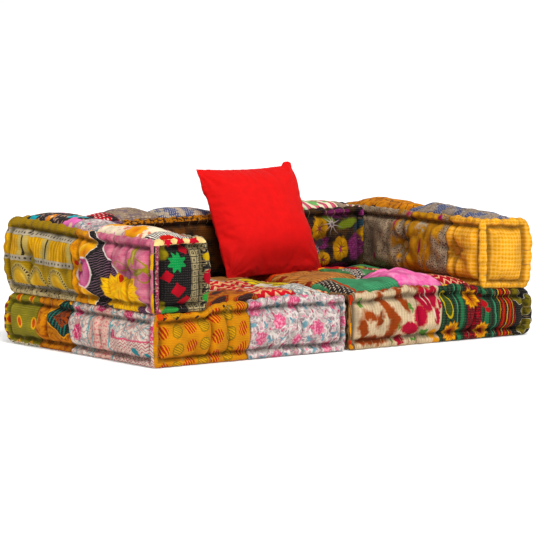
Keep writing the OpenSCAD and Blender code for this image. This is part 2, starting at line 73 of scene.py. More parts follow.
# %% [markdown]
# ## Sizes
# All lengths are in metres, and they repeat the CAD's main sizes. The roll is the sewn edge: its radius
# sets how far in the stitched valley behind it lies, and from there on the panel swells.

# %% Sizes of the set
HALF_W, HALF_D, GAP = 0.8, 0.44, 0.00015
SEAT_H, BOLSTER_T, BOLSTER_H = 0.176, 0.21, 0.245
BOLSTER_Z = SEAT_H + 2 * GAP
ARM_X, BACK_Y = HALF_W - BOLSTER_T, HALF_D - BOLSTER_T
ROLL, STITCH_PITCH = 0.013, 0.038
VALLEY = 2.2 * ROLL
VALLEY_DEPTH = 0.017
PRESS_X, PRESS_Y = ARM_X + 0.7 * ROLL, BACK_Y + 0.7 * ROLL
BUTTON_R = 0.014
PILLOW_X = 0.066
FACES = ["left", "right", "front", "back", "under", "top"]


def band(v, lo, hi):
    """1 midway between lo and hi, falling to 0 at both."""
    return np.clip(1 - ((2 * v - lo - hi) / (hi - lo)) ** 2, 0, 1)


def ramp(v):
    """Smooth step from 0 to 1."""
    v = np.clip(v, 0, 1)
    return v * v * (3 - 2 * v)


def unit(rows):
    """Vectors in rows, each made 1 long."""
    return rows / np.linalg.norm(rows, axis=-1)[..., None]


# %% [markdown]
# ## Seven cushions
# Each cushion starts as a box. `closed` names the sides that touch a neighbour, so they may not swell;
# `tufts` are the buttoned points of a side. The left-hand cushions mirror the right-hand ones in size,
# but every one gets its own folds, because no two stuffed covers crease alike.

# %% The cushions as boxes, and where their tufts are
SEAT_TUFT_XS, SEAT_TUFT_YS = (0.24, 0.40, 0.56), (-0.19, 0.0, 0.19)
SEAT_TUFTS = [(x, y) for x in SEAT_TUFT_XS for y in SEAT_TUFT_YS]
ARM_TUFTS = [-0.293, 0.0, 0.293]
BACK_TUFTS = [0.1975, 0.3925]
TOP = BOLSTER_Z + BOLSTER_H
CUSHIONS = {
    "seat_right": dict(lo=(GAP, -HALF_D, 0), hi=(HALF_W, HALF_D, SEAT_H), closed=["left"]),
    "seat_left": dict(lo=(-HALF_W, -HALF_D, 0), hi=(-GAP, HALF_D, SEAT_H), closed=["right"]),
    "arm_right": dict(lo=(ARM_X + GAP, -HALF_D, BOLSTER_Z), hi=(HALF_W, HALF_D, TOP), closed=["left"]),
    "arm_left": dict(lo=(-HALF_W, -HALF_D, BOLSTER_Z), hi=(-ARM_X - GAP, HALF_D, TOP), closed=["right"]),
    "back_right": dict(lo=(GAP, BACK_Y, BOLSTER_Z), hi=(ARM_X - GAP, HALF_D, TOP),
                       closed=["left", "right", "front"]),
    "back_left": dict(lo=(-ARM_X + GAP, BACK_Y, BOLSTER_Z), hi=(-GAP, HALF_D, TOP),
                      closed=["left", "right", "front"]),
}
for name, cushion in CUSHIONS.items():
    cushion["lo"], cushion["hi"] = np.array(cushion["lo"]), np.array(cushion["hi"])
    cad_lo, cad_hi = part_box(name + "_cover")
    print(name, "box", cushion["lo"], cushion["hi"], "CAD cover", tuple(cad_lo), tuple(cad_hi))

# %% [markdown]
# ## A grid for each cushion
# The mesh is a box of quads whose grid lines crowd together over the rolled edges and run exactly
# through the seams between patches. Printed cloth follows the mesh, so each corner of each quad keeps
# its flat place in the patch as a UV, in metres. A second UV map keeps two distances, used for painted
# shade and the seam's relief: to the nearest seam or upright crease, and to the nearest edge of the
# cushion.

# %% Grid lines and the box mesh
EDGE_LINES = [0, 0.004, 0.0085, 0.013, 0.018, 0.023, VALLEY, 0.034, 0.040, 0.048]
EDGE_ZONE = EDGE_LINES[-1]
SEAM_LINES = [-0.008, -0.0035, 0, 0.0035, 0.008]
SEAM_CLEAR, SEAM_FULL, SEAM_BARE = 0.013, 0.062, 0.052
GRID_STEP = 0.010


def grid_lines(lo, hi, seams):
    """Grid lines along one axis: close at the edges and at seams, GRID_STEP apart between them."""
    cells = max(2, round((hi - lo - 2 * EDGE_ZONE) / GRID_STEP))
    inner = list(np.linspace(lo + EDGE_ZONE, hi - EDGE_ZONE, cells + 1)[1:-1])
    inner = [v for v in inner if all(abs(v - s) > SEAM_CLEAR for s in seams)]
    kept = []
    for s in seams:
        if lo + SEAM_FULL < s < hi - SEAM_FULL:
            kept += [s + off for off in SEAM_LINES]
        elif lo + SEAM_BARE < s < hi - SEAM_BARE:
            kept.append(s)
    edges = [lo + e for e in EDGE_LINES] + [hi - e for e in EDGE_LINES]
    return np.array(sorted(edges + inner + kept))


def box_mesh(xs, ys, zs):
    """Surface points of a grid box, its quads, and which side each quad is on."""
    index, points, quads, sides = {}, [], [], []
    axes = (xs, ys, zs)
    count = [len(a) for a in axes]

    def point(key):
        if key not in index:
            index[key] = len(points)
            points.append((xs[key[0]], ys[key[1]], zs[key[2]]))
        return index[key]

    for axis in range(3):
        u, v = (axis + 1) % 3, (axis + 2) % 3
        for end in (0, 1):
            for i in range(count[u] - 1):
                for j in range(count[v] - 1):
                    ring = []
                    for di, dj in ((0, 0), (1, 0), (1, 1), (0, 1)):
                        key = [0, 0, 0]
                        key[axis] = end * (count[axis] - 1)
                        key[u], key[v] = i + di, j + dj
                        ring.append(point(tuple(key)))
                    quads.append(ring if end else ring[::-1])
                    sides.append(2 * axis + end)
    return np.array(points), np.array(quads), np.array(sides)


# %% [markdown]
# ## The stuffed form
# The real cushion's form comes from filling that pushes out and stitches that hold in. It could be
# sculpted by hand, but here the same few laws are written as formulas, so that they give every cushion
# its form: a roll round each edge, a stitched valley behind it, sides that stand out in a barrel, a
# crowned top, domes between the tufts, and folds that run out from every stitch.

# %% Where the buttons lie
def button_spots(name):
    """(centre, direction) of the underside of each button of a cushion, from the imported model."""
    node = frame["nodes"][name + "_buttons"]
    points = np.array([v.co for v in node.data.vertices])
    cushion = CUSHIONS[name]
    middle = (cushion["lo"] + cushion["hi"]) / 2
    kind = name.split("_")[0]
    axis = {"seat": 2, "arm": 0, "back": 1}[kind]
    flat = [a for a in range(3) if a != axis]
    sign = -1 if name.endswith("left") else 1
    level = BOLSTER_Z + BOLSTER_H / 2
    spots = {"seat": [(sign * x, y) for x, y in SEAT_TUFTS], "arm": [(y, level) for y in ARM_TUFTS],
             "back": [(sign * x, level) for x in BACK_TUFTS]}[kind]
    found = []
    for spot in spots:
        near = np.hypot(points[:, flat[0]] - spot[0], points[:, flat[1]] - spot[1]) < 2 * BUTTON_R
        for way in (-1, 1):
            mine = points[near & ((points[:, axis] - middle[axis]) * way > 0)]
            centre = np.zeros(3)
            centre[flat] = spot
            centre[axis] = mine[:, axis].min() if way > 0 else mine[:, axis].max()
            found.append((axis, way, centre))
    return found


# %% Ripples and stray places, so that nothing is quite even
def ripples(points, length, seed, count=9):
    """Smooth noise between about -1 and 1, with bumps of about the given length."""
    source = np.random.default_rng(seed)
    total = np.zeros(len(points))
    for _ in range(count):
        way = source.normal(size=3)
        way = way / np.linalg.norm(way) * 2 * math.pi / (length * source.uniform(0.7, 1.6))
        total += np.sin(points @ way + source.uniform(0, 2 * math.pi))
    return total / math.sqrt(count)


def seed_of(name):
    """A number for the random draws of one cushion, always the same."""
    return sum(map(ord, name))


def wandering(points, along, seed):
    """Places along a roll, moved a little, so that the stitches over it aren't evenly spaced."""
    return along + 0.007 * ripples(points, 0.11, seed + 7)


# %% Rise of the tops
def seat_rise(x, y):
    """How far a seat's top rises: domes between the tufts, flat where a bolster or a seat presses."""
    # The pink patch is stuffed fuller than the rest
    full = 0.022 * np.exp(-((x - 0.34) / 0.10) ** 4 - ((y + 0.27) / 0.10) ** 4)
    x = np.abs(x)
    sprung = ramp((PRESS_X - x) / 0.045 + 0.05) * ramp((PRESS_Y - y) / 0.045 + 0.05)
    near_x = np.min([np.abs(x - t) for t in SEAT_TUFT_XS], axis=0) / 0.08
    near_y = np.min([np.abs(y - t) for t in SEAT_TUFT_YS], axis=0) / 0.095
    arch = [np.sqrt(1 - (1 - np.clip(n, 0, 1)) ** 2) for n in (near_x, near_y)]
    dome = 0.45 * np.minimum(arch[0], arch[1]) + 0.55 * np.maximum(arch[0], arch[1])
    crown = band(x, ROLL, PRESS_X) * band(y, -HALF_D + ROLL, PRESS_Y)
    puffs = 0.016 * crown ** 0.7 + (0.012 * dome + full) * ramp(crown * 4)
    return sprung * (0.014 + 0.012 * band(x, 0, PRESS_X) + puffs)


def bolster_rise(along, across, half_long, half_wide):
    """How far a bolster's top rises: a crown, with a dip midway along it."""
    swell = np.clip(1 - (across / half_wide) ** 2, 0, 1) * np.clip(1 - (along / half_long) ** 4, 0, 1)
    dip = np.clip(1 - np.abs(along) / 0.05, 0, 1) ** 1.5
    return swell * (0.026 - 0.012 * dip)


# %% Upright creases
PLEATS = {("seat_left", "front"): [-0.576, -0.507, -0.209], ("seat_left", "left"): [-0.13, 0.19],
          ("seat_right", "front"): [0.30, 0.545], ("arm_left", "left"): [-0.20, 0.30]}
PLEAT_DEPTH, PLEAT_SPACING = 0.0105, 0.085
print(sum(map(len, PLEATS.values())), "upright creases at known places")


def crease_line(place, tall):
    """Where an upright crease runs at each height: it waves a little."""
    return place + 0.004 * np.sin(9 * tall + 40 * place)


def pleats(v, tall, lo, hi, known, seed):
    """Creases that run up a side, where its cloth is taken in between the two rolls."""
    source = np.random.default_rng(seed)
    rows = [(place, PLEAT_DEPTH, 0.0) for place in known]
    for place in np.arange(lo + 0.07, hi - 0.05, PLEAT_SPACING):
        rows.append((place + source.uniform(-0.03, 0.03), source.uniform(0.0008, 0.0036), 0.018))
    total = np.zeros(len(v))
    for place, depth, lean in rows:
        off = v - crease_line(place, tall) - source.uniform(-1, 1) * lean * (tall - 0.5)
        total -= 1.3 * depth * np.exp(-(off / 0.0085) ** 2)
        total += 0.55 * depth * np.exp(-(off / 0.030) ** 2)
    return total


# %% Rolls, valleys, gathers and seams
ROLL_OUT, ROLL_LUMPS, PINCH_IN = 0.0046, 0.0028, 0.0074
GATHER_PITCH, GATHER_DEPTH = 0.023, 0.0021
SEAM_DEPTH, SEAM_WIDTH, FOLD_DEPTH, FOLD_WIDTH = 0.0048, 0.006, 0.010, 0.013
PLUMP = {"seat": 0.0095, "arm": 0.0130, "back": 0.0130}


def stand_out(kind, seed, box, out, edge, third, along, seam_room):
    """How far the cloth stands out of the cushion's box, or how far it lies within it (below 0)."""
    # The rolls, pinched by their stitches, and the valleys behind them, which wander a little
    lumps = ripples(box, 0.045, seed)
    step = wandering(box, along, seed)
    pinch = np.abs(np.cos(math.pi * step / STITCH_PITCH)) ** 7 * (0.75 + 0.35 * lumps)
    in_roll = ramp((VALLEY - edge) / 0.012) * ramp(third / 0.03)
    strayed = edge + 0.0022 * ripples(box, 0.10, seed + 8)
    push = -VALLEY_DEPTH * (1 + 0.25 * lumps) * np.exp(-((strayed - VALLEY) / 0.0082) ** 2)
    push += in_roll * (ROLL_OUT + ROLL_LUMPS * lumps - PINCH_IN * pinch)
    # Gathers that run from the valleys into the panels, and creases at the seams
    gathers = np.sin(2 * math.pi * (along + 0.007 * ripples(box, 0.06, seed + 1)) / GATHER_PITCH)
    into = np.clip((edge - VALLEY) / 0.06, 0, 1)
    fade = ramp((edge - VALLEY) / 0.008) * ramp((third - edge) / 0.03)
    push += GATHER_DEPTH * gathers * (0.7 + 0.4 * lumps) * np.exp(-3 * into) * fade
    push -= SEAM_DEPTH * np.exp(-(seam_room / SEAM_WIDTH) ** 2) * ramp(edge / 0.02)
    if kind == "seat":
        push -= FOLD_DEPTH * np.exp(-(box[:, 0] / FOLD_WIDTH) ** 2)
    # The swell of the upright panels, and loose creases that run up them
    upright = 1 - np.abs(out[:, 2])
    swell = ramp((edge - VALLEY) / 0.042)
    push += swell * upright * (PLUMP[kind] + 0.0045 * ripples(box, 0.11, seed + 2))
    creases = ripples(box * np.array([1, 1, 0.42]), 0.040, seed + 3)
    push += ramp((edge - 0.02) / 0.04) * 0.0026 * creases * (0.35 + 0.65 * upright)
    return push


# %% Sides that press on a neighbour
def pressed(cushion, kind, box, out):
    """(how free the cloth is to stand out, how much room its side has to bulge), both 0 to 1."""
    x, y, _ = box.T
    free = np.where(out[:, 2] < -0.7, 0.0, 1.0)
    room = np.ones(len(box))
    for side in cushion["closed"]:
        axis, end = divmod(FACES.index(side), 2)
        loose = {"seat": 0 * x, "arm": ramp((BACK_Y - 0.02 - y) / 0.09),
                 "back": ramp((np.abs(x - PILLOW_X) - 0.24) / 0.08) * (side == "front")}[kind]
        held = (1 - loose) * ramp(out[:, axis] * (2 * end - 1) * 2 - 0.4)
        free = np.minimum(free, 1 - held)
        gap = (cushion["hi"] - box)[:, axis] if end else (box - cushion["lo"])[:, axis]
        room *= 1 - (1 - ramp(gap / 0.09)) * (1 - loose)
    return free, room


# %% Cloth drawn to the buttons, and kept within the size
TUFT_REACH, TUFT_NARROW = 0.036, 0.017
SIZE_LIMITS = [(0.818, 0.838), (0.452, 0.467)]


def draw_to_tufts(form, slack, box, out, kind, tufts):
    """Draws the cloth to the underside of each button, in folds like rays."""
    for number, (axis, way, centre) in enumerate(tufts):
        if kind == "seat" and way < 0:
            continue
        flat_axes = [a for a in range(3) if a != axis]
        offset = box[:, flat_axes] - centre[flat_axes]
        far = np.hypot(offset[:, 0], offset[:, 1])
        turn = np.arctan2(offset[:, 1], offset[:, 0])
        rays = np.sin(7 * turn + number) + 0.6 * np.sin(11 * turn + 2.3 * number)
        reach = np.maximum(far - 0.85 * BUTTON_R, 0)
        width = TUFT_REACH * (1 + 0.22 * rays * np.clip(reach / 0.02, 0, 1))
        hold = 1 / (1 + (reach / width) ** 1.7)
        if kind != "seat":
            narrow = TUFT_NARROW * (1 + 0.30 * rays * np.clip(reach / 0.015, 0, 1))
            hold = 0.62 / (1 + (reach / narrow) ** 2) + 0.38 * hold
        hold *= 1 - ramp((far - 0.08) / 0.06)
        facing = ramp(out[:, axis] * way * 3 - 1.5)
        target = centre[axis] - way * 0.0006
        form[:, axis] += hold * facing * (target - form[:, axis])
        slack *= 1 - facing * np.clip(1.6 - far / 0.03, 0, 1)


def keep_in(form):
    """Eases points that swell too far back inside the size of the model."""
    for axis, (near, far) in enumerate(SIZE_LIMITS):
        over = np.abs(form[:, axis]) - near
        back = near + (far - near) * np.tanh(over / (far - near))
        form[:, axis] = np.where(over > 0, np.sign(form[:, axis]) * back, form[:, axis])


# %% Form of one cushion
BULGE = {"seat": 0.013, "arm": 0.012, "back": 0.012}
DRAWN_IN, RIGHT_SINKS, ARM_STANDS_UP, LEFT_LEANS = 0.005, 0.011, 0.017, 0.012


def stuffed(name, box, seam_room):
    """Moves the points of a cushion's box to its stuffed form, and says how loose the cloth is there."""
    cushion = CUSHIONS[name]
    lo, hi = cushion["lo"], cushion["hi"]
    middle, half = (lo + hi) / 2, (hi - lo) / 2
    seed, kind, tufts = seed_of(name), name.split("_")[0], button_spots(name)
    x, y, z = box.T
    tall = (z - lo[2]) / (hi[2] - lo[2])
    # Each point's distances to the second and third nearest side, and its place along the nearest edge
    away = half - np.abs(box - middle)
    order = np.argsort(away, axis=1)
    edge = np.take_along_axis(away, order[:, 1:2], 1)[:, 0]
    third = np.take_along_axis(away, order[:, 2:3], 1)[:, 0]
    along = np.take_along_axis(box, order[:, 2:3], 1)[:, 0]
    core = np.clip(box, lo + ROLL, hi - ROLL)
    out = unit(box - core)
    push = stand_out(kind, seed, box, out, edge, third, along, seam_room)
    for number, side in enumerate(FACES[:4]):
        axis, end = divmod(number, 2)
        mine = np.clip(out[:, axis] * (2 * end - 1), 0, 1) ** 2 * ramp((edge - 0.6 * VALLEY) / 0.02)
        other = 1 - axis
        known = PLEATS.get((name, side), []) + [spot[2][other] for spot in tufts if spot[0] == axis]
        push += mine * pleats(box[:, other], tall, lo[other], hi[other], known, seed + 20 + number)
    free, room = pressed(cushion, kind, box, out)
    push = np.where(push > 0, push * free, push)
    slack = free * ramp((edge - VALLEY - 0.004) / 0.02)
    if kind == "seat":
        open_top = ramp((PRESS_X - np.abs(x)) / 0.045) * ramp((PRESS_Y - y) / 0.045)
        slack *= np.where(out[:, 2] > 0.5, open_top, 1.0)
    form = core + out * ROLL + out * push[:, None]
    # Barrel of the free sides, and all sides drawn in between the corners
    barrel = 1 - (2 * tall - 1) ** 2
    share = (box - middle) / half
    for axis, other in ((0, 1), (1, 0)):
        draw = DRAWN_IN * (1 - share[:, other] ** 2)
        part = share[:, axis]
        form[:, axis] += (BULGE[kind] * barrel * room - draw) * part * np.abs(part) ** 3
    # Rise of the top
    if kind == "seat":
        rise = seat_rise(x, y) * (1 + 0.12 * ripples(box, 0.15, seed + 4))
    else:
        a, b = (1, 0) if kind == "arm" else (0, 1)
        rise = bolster_rise(box[:, a] - middle[a], box[:, b] - middle[b], half[a] - 0.02, half[b] - 0.02)
        rise *= 1 + 0.25 * ripples(box, 0.16, seed + 4)
    form[:, 2] += rise * tall
    # The set leans: it has sunk at its right end, and the left arm stands up towards the back
    form[:, 2] -= RIGHT_SINKS * ramp((x - 0.56) / 0.24) * (tall if kind == "seat" else 1)
    if name == "arm_left":
        form[:, 2] += ARM_STANDS_UP * ramp((y + 0.12) / 0.5) * tall
    if name.endswith("left"):
        form[:, 0] -= LEFT_LEANS * ramp((y - 0.05) / 0.35) * (0.4 + 0.6 * barrel) * ramp(-share[:, 0])
    draw_to_tufts(form, slack, box, out, kind, tufts)
    keep_in(form)
    return form, edge, slack


# %% [markdown]
# ## Patches
# Each side of a cushion is pieced from lengths of different prints. A patch is written as the range it
# covers along the side and up it, in metres, and the name of its print. The patches of a side wrap over
# the rolled edges, as the sewn covers do, and meet the patches of the top in the valley.

# %% Which print goes where
ALL = 9.0


def lengths(*parts):
    """Patches side by side along a cushion: prints with the places of the seams between them."""
    ends = [-ALL] + list(parts[1::2]) + [ALL]
    return [(ends[i], ends[i + 1], -ALL, ALL, name) for i, name in enumerate(parts[0::2])]


def squares(xs, ys, rows):
    """Patches in rows and columns; rows run from the front to the back."""
    xs, ys = [-ALL, *xs, ALL], [-ALL, *ys, ALL]
    return [(xs[i], xs[i + 1], ys[j], ys[j + 1], name)
            for j, row in enumerate(rows) for i, name in enumerate(row.split())]


PATCHES = {
    "seat_left": {
        "front": lengths("mustard_roundels", -0.418, "pale_floral"),
        "left": lengths("rose_bands", 0.055, "teal_diamond", 0.246, "olive_ovals"),
        "back": lengths("olive_ovals", -0.56, "cream_ikat", -0.22, "mustard_roundels"),
        "right": lengths("pale_floral", -0.05, "green_chain", 0.22, "tan_weave"),
        "top": squares((-0.35, -0.19), (-0.20, -0.03), ["brown_leaves coral_zigzag grey_scroll",
                                                        "coral_zigzag coral_zigzag yellow_ticks",
                                                        "green_chain grey_scroll tan_weave"]),
        "under": squares((-0.40,), (0.0,), ["calico tan_weave", "tan_weave calico"])},
    "seat_right": {
        "front": lengths("leaf_edging", 0.030, "cream_ikat", 0.400, "forest_sunflowers", 0.660,
                         "fire_stripes", 0.724, "olive_shadow"),
        "right": lengths("olive_shadow", -0.36, "rose_bands", -0.02, "golden_plaid", 0.24,
                         "purple_garden"),
        "back": lengths("slate_mottle", 0.26, "worn_ochre", 0.55, "pale_floral"),
        "left": lengths("leaf_edging", -0.30, "coral_zigzag", 0.10, "green_border"),
        "top": squares((0.25, 0.44), (-0.175, 0.06),
                       ["green_border pink_plain crimson_zigzag", "tan_weave green_chain crimson_zigzag",
                        "sunset_arcs crimson_square sunset_arcs"]),
        "under": squares((0.40,), (0.0,), ["tan_weave calico", "calico tan_weave"])},
    "arm_left": {
        "left": lengths("chrysanthemum_field", 0.036, "arches_and_windows"),
        "front": lengths("star_and_lozenges"),
        "right": lengths("worn_ochre", -0.10, "purple_garden", 0.20, "beige_speckle"),
        "back": lengths("arches_and_windows", -0.70, "fire_stripes"),
        "top": squares((), (-0.33, -0.04, 0.10),
                       ["black_hatch", "cream_coral", "pale_floral", "night_floral"]),
        "under": lengths("calico")},
    "arm_right": {
        "left": lengths("golden_plaid", -0.255, "worn_ochre", -0.033, "beige_speckle"),
        "front": lengths("golden_plaid"),
        "right": lengths("golden_plaid", -0.20, "cream_ikat", 0.10, "night_floral"),
        "back": lengths("night_floral", 0.69, "orange_scrolls"),
        "top": squares((), (0.02,), ["grey_paisley", "orange_scrolls"]),
        "under": lengths("calico")},
    "back_left": {
        "front": lengths("dusk_leaves"),
        "back": lengths("red_dots", -0.42, "mustard_roundels", -0.16, "slate_mottle"),
        "left": lengths("red_dots"), "right": lengths("slate_mottle"),
        "top": squares((-0.46, -0.29), (), ["red_dots beige_mottle slate_mottle"]),
        "under": lengths("calico")},
    "back_right": {
        "front": lengths("purple_garden"),
        "back": lengths("pale_floral", 0.24, "teal_diamond", 0.42, "forest_sunflowers"),
        "left": lengths("orange_scrolls"), "right": lengths("candy_stripes"),
        "top": squares((0.30, 0.50), (), ["orange_scrolls candy_stripes beige_mottle"]),
        "under": lengths("calico")},
}
print(sum(len(rows) for sides in PATCHES.values() for rows in sides.values()), "patches")

# %% Which side of the cover a quad is cut with
ROOM, PLEAT_SHADE, DEEP = 0.05, 0.0012, 0.004


def side_place(side, lo, hi, corners):
    """Which side the quads belong to once the rolls go with the upright sides, and flat coordinates."""
    x, y, z = corners[..., 0], corners[..., 1], corners[..., 2]
    centre = corners.mean(axis=1)
    u = np.where((side < 2)[:, None], y, x)
    v = np.where((side < 4)[:, None], z, y)
    owner = side.copy()
    reach = np.stack([x - lo[0], hi[0] - x, y - lo[1], hi[1] - y], 2)
    gaps = np.stack([centre[:, 0] - lo[0], hi[0] - centre[:, 0],
                     centre[:, 1] - lo[1], hi[1] - centre[:, 1]], 1)
    near, gap = gaps.argmin(1), gaps.min(1)
    rolled = (side >= 4) & (gap < VALLEY)
    reach = np.take_along_axis(reach, near[:, None, None].repeat(4, 1), 2)[..., 0]
    u = np.where(rolled[:, None], np.where((near < 2)[:, None], y, x), u)
    over = np.where((side == 5)[:, None], hi[2] + reach, lo[2] - reach)
    v = np.where(rolled[:, None], over, v)
    owner = np.where(rolled, near, owner)
    return owner, u, v


# %% [markdown]
# ## Filling the covers
# Formulas alone look too even, so each cover is then filled by Blender's cloth simulation. The cloth is
# cut a little larger than the form, and pressure blows it up, while the rolls, the tufts and the sides
# that press on a neighbour are held. What it wanted to move is eased to a few millimetres, so the size
# stays right. The result is written into the mesh, and the cloth is taken off again. The hollows that
# are left go into a third UV map, and the material paints shade into them and light onto the ridges.

# %% Blow up a cover, and find its hollows
COVER_MOVES, PILLOW_MOVES = 0.007, 0.012
HELD_BELOW, CLOTH_MASS, CLOTH_PRESSURE = 0.25, 0.15, 4.0


def gather(index, vectors, count):
    """Sums the vectors that go to each point."""
    return np.stack([np.bincount(index, vectors[:, axis], count) for axis in range(3)], 1)


def hollows(points, quads, rounds=14):
    """How deep each point lies under the mean of the cloth around it, in metres."""
    ends = np.concatenate([quads[:, [i, (i + 1) % 4]] for i in range(4)])
    ends = np.concatenate([ends, ends[:, ::-1]])
    count = np.bincount(ends[:, 0], minlength=len(points))
    mean = points.copy()
    for _ in range(rounds):
        mean = gather(ends[:, 0], mean[ends[:, 1]], len(points)) / count[:, None]
    faces = np.cross(points[quads[:, 2]] - points[quads[:, 0]], points[quads[:, 3]] - points[quads[:, 1]])
    normal = unit(gather(quads.ravel(), np.repeat(faces, 4, axis=0), len(points)))
    return ((mean - points) * normal).sum(1)


def blow_up(piece, slack, most, larger, stiffness, quality, frames):
    """Fills a cover with Blender's cloth where it is slack; no point moves further than `most`."""
    mesh = piece.data
    start = np.empty(len(mesh.vertices) * 3)
    mesh.vertices.foreach_get("co", start)
    held = np.flatnonzero(slack < HELD_BELOW).tolist()
    piece.vertex_groups.new(name="held").add(held, 1.0, "REPLACE")
    modifier = piece.modifiers.new("filled", "CLOTH")
    settings = modifier.settings
    settings.vertex_group_mass = "held"
    settings.quality = quality
    settings.mass = CLOTH_MASS
    settings.bending_stiffness = stiffness
    settings.use_pressure = True
    settings.uniform_pressure_force = CLOTH_PRESSURE
    settings.shrink_min = -larger
    settings.effector_weights.gravity = 0.0
    modifier.collision_settings.use_collision = False
    modifier.point_cache.frame_end = frames
    for frame in range(1, frames + 1):
        bpy.context.scene.frame_set(frame)
    blown = piece.evaluated_get(bpy.context.evaluated_depsgraph_get()).to_mesh()
    end = np.empty(len(start))
    blown.vertices.foreach_get("co", end)
    piece.modifiers.remove(modifier)
    piece.vertex_groups.clear()
    bpy.context.scene.frame_set(1)
    move = (end - start).reshape(-1, 3)
    far = np.linalg.norm(move, axis=1)[:, None]
    eased_far = most * np.tanh(far / most) / np.maximum(far, 1e-9)
    moved = start.reshape(-1, 3) + move * slack[:, None] * eased_far
    print("cloth of", piece.name, "wanted to move", round(float(far.max()) * 1000, 1), "mm at most,",
          round(float(far.mean()) * 1000, 1), "mm on average")
    mesh.vertices.foreach_set("co", moved.ravel())
    return moved


# %% Make a piece from a mesh
def new_piece(name, points, quads):
    """A smooth-shaded object from points and quads, put into the scene."""
    mesh = bpy.data.meshes.new(name)
    mesh.from_pydata(points.tolist(), [], quads.tolist())
    mesh.polygons.foreach_set("use_smooth", np.ones(len(quads), bool))
    piece = bpy.data.objects.new(name, mesh)
    bpy.context.scene.collection.objects.link(piece)
    return piece


def add_uv(mesh, name, *pair):
    """Adds a UV map from two numbers for each corner of each quad."""
    mesh.uv_layers.new(name=name).data.foreach_set("uv", np.stack(pair, -1).astype(np.float32).ravel())


def soften(piece):
    """Divides each quad in four, so that the folds are round."""
    smooth = piece.modifiers.new("smooth", "SUBSURF")
    smooth.levels = smooth.render_levels = 1
    smooth.uv_smooth = "NONE"


# %% Sew one cushion's cover
def sew(name):
    """Cuts, forms and fills the cover of a cushion, and gives each patch its print."""
    cushion = CUSHIONS[name]
    lo, hi = cushion["lo"], cushion["hi"]
    patches = PATCHES[name]
    seams = [[], [], []]
    for side, rows in patches.items():
        first, second = {0: (1, 2), 1: (0, 2), 2: (0, 1)}[FACES.index(side) // 2]
        for u0, u1, v0, v1, _ in rows:
            seams[first] += [u0, u1]
            seams[second] += [v0, v1]
    for side in FACES[:4]:
        seams[1 - FACES.index(side) // 2] += PLEATS.get((name, side), [])
    lines = [grid_lines(lo[a], hi[a], sorted({s for s in seams[a] if abs(s) < 1})) for a in range(3)]
    points, quads, sides = box_mesh(*lines)
    owner, u, v = side_place(sides, lo, hi, points[quads])
    slots, cover = [], np.zeros(len(quads), int)
    room = np.full(u.shape, ROOM)
    cu, cv = u.mean(1), v.mean(1)
    for number, side in enumerate(FACES):
        left = owner == number
        for u0, u1, v0, v1, print_name in patches[side]:
            mine = left & (cu > u0) & (cu < u1) & (cv > v0) & (cv < v1)
            left = left & ~mine
            if print_name not in slots:
                slots.append(print_name)
            cover[mine] = slots.index(print_name)
            inside = np.min([u - u0, u1 - u, v - v0, v1 - v], axis=0)
            room[mine] = np.clip(inside[mine], 0, ROOM)
        # Painted shade along each upright crease: it counts as a seam in the Seam map, so the material
        # darkens it
        for place in PLEATS.get((name, side), []):
            off = np.abs(u - crease_line(place, (v - lo[2]) / (hi[2] - lo[2])))
            near = np.minimum(room, off + PLEAT_SHADE)
            room = np.where((owner == number)[:, None], near, room)
    seam_room = np.full(len(points), ROOM)
    np.minimum.at(seam_room, quads.ravel(), room.ravel())
    form, edge, slack = stuffed(name, points, seam_room)
    piece = new_piece("cover_" + name, form, quads)
    mesh = piece.data
    mesh.polygons.foreach_set("material_index", cover.astype(np.int32))
    add_uv(mesh, "Print", u, v)
    add_uv(mesh, "Seam", room, edge[quads])
    form = blow_up(piece, slack, COVER_MOVES, larger=0.02, stiffness=1.5, quality=3, frames=5)
    keep_in(form)
    mesh.vertices.foreach_set("co", form.ravel())
    # How hollow the filled cloth lies, for the material's painted shade in hollows and painted light on
    # ridges
    depth = hollows(form, quads)[quads] / DEEP
    add_uv(mesh, "Hollow", depth, 0 * depth)
    mesh.update()
    for print_name in slots:
        mesh.materials.append(printed_cloth(print_name))
    soften(piece)
    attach(piece, name)
    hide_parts(name + "_cover", name + "_filling")
    print(name, len(points), "points,", len(quads), "quads,", len(slots), "prints")


# %% [markdown]
# ## The stitches over the rolls
# Strong thread goes over each roll and pulls it in at every pinch. Each stitch is a short tube that
# follows the formed cloth from one valley, over the edge, to the other.

# %% Lay a tube along each stitch
THREAD_R, THREAD_SIDES, THREAD_STEPS = 0.0009, 5, 7
THREAD_FREE = 0.03
TURNS = np.arange(THREAD_SIDES) * 2 * math.pi / THREAD_SIDES


def stitch_paths(name):
    """Rows of box points over each roll, one row for each stitch."""
    cushion = CUSHIONS[name]
    lo, hi = cushion["lo"], cushion["hi"]
    seed = seed_of(name)
    down, up = np.linspace(VALLEY, 0, THREAD_STEPS), np.linspace(0, VALLEY, THREAD_STEPS)
    over_first, over_second = np.append(down, 0 * up[1:]), np.append(0 * down, up[1:])
    sides, ways = (lo, hi), (1, -1)
    paths = []
    for axis in range(3):
        first, second = [a for a in range(3) if a != axis]
        line = np.linspace(lo[axis] + THREAD_FREE, hi[axis] - THREAD_FREE, 400)
        for a, b in ((0, 0), (0, 1), (1, 0), (1, 1)):
            points = np.zeros((len(line), 3))
            points[:, axis] = line
            points[:, first], points[:, second] = sides[a][first], sides[b][second]
            phase = wandering(points, line, seed) / STITCH_PITCH
            for k in range(math.ceil(phase.min()), math.floor(phase.max()) + 1):
                path = np.zeros((len(over_first), 3))
                path[:, axis] = line[np.abs(phase - k).argmin()]
                path[:, first] = sides[a][first] + ways[a] * over_first
                path[:, second] = sides[b][second] + ways[b] * over_second
                paths.append(path)
    return np.array(paths)


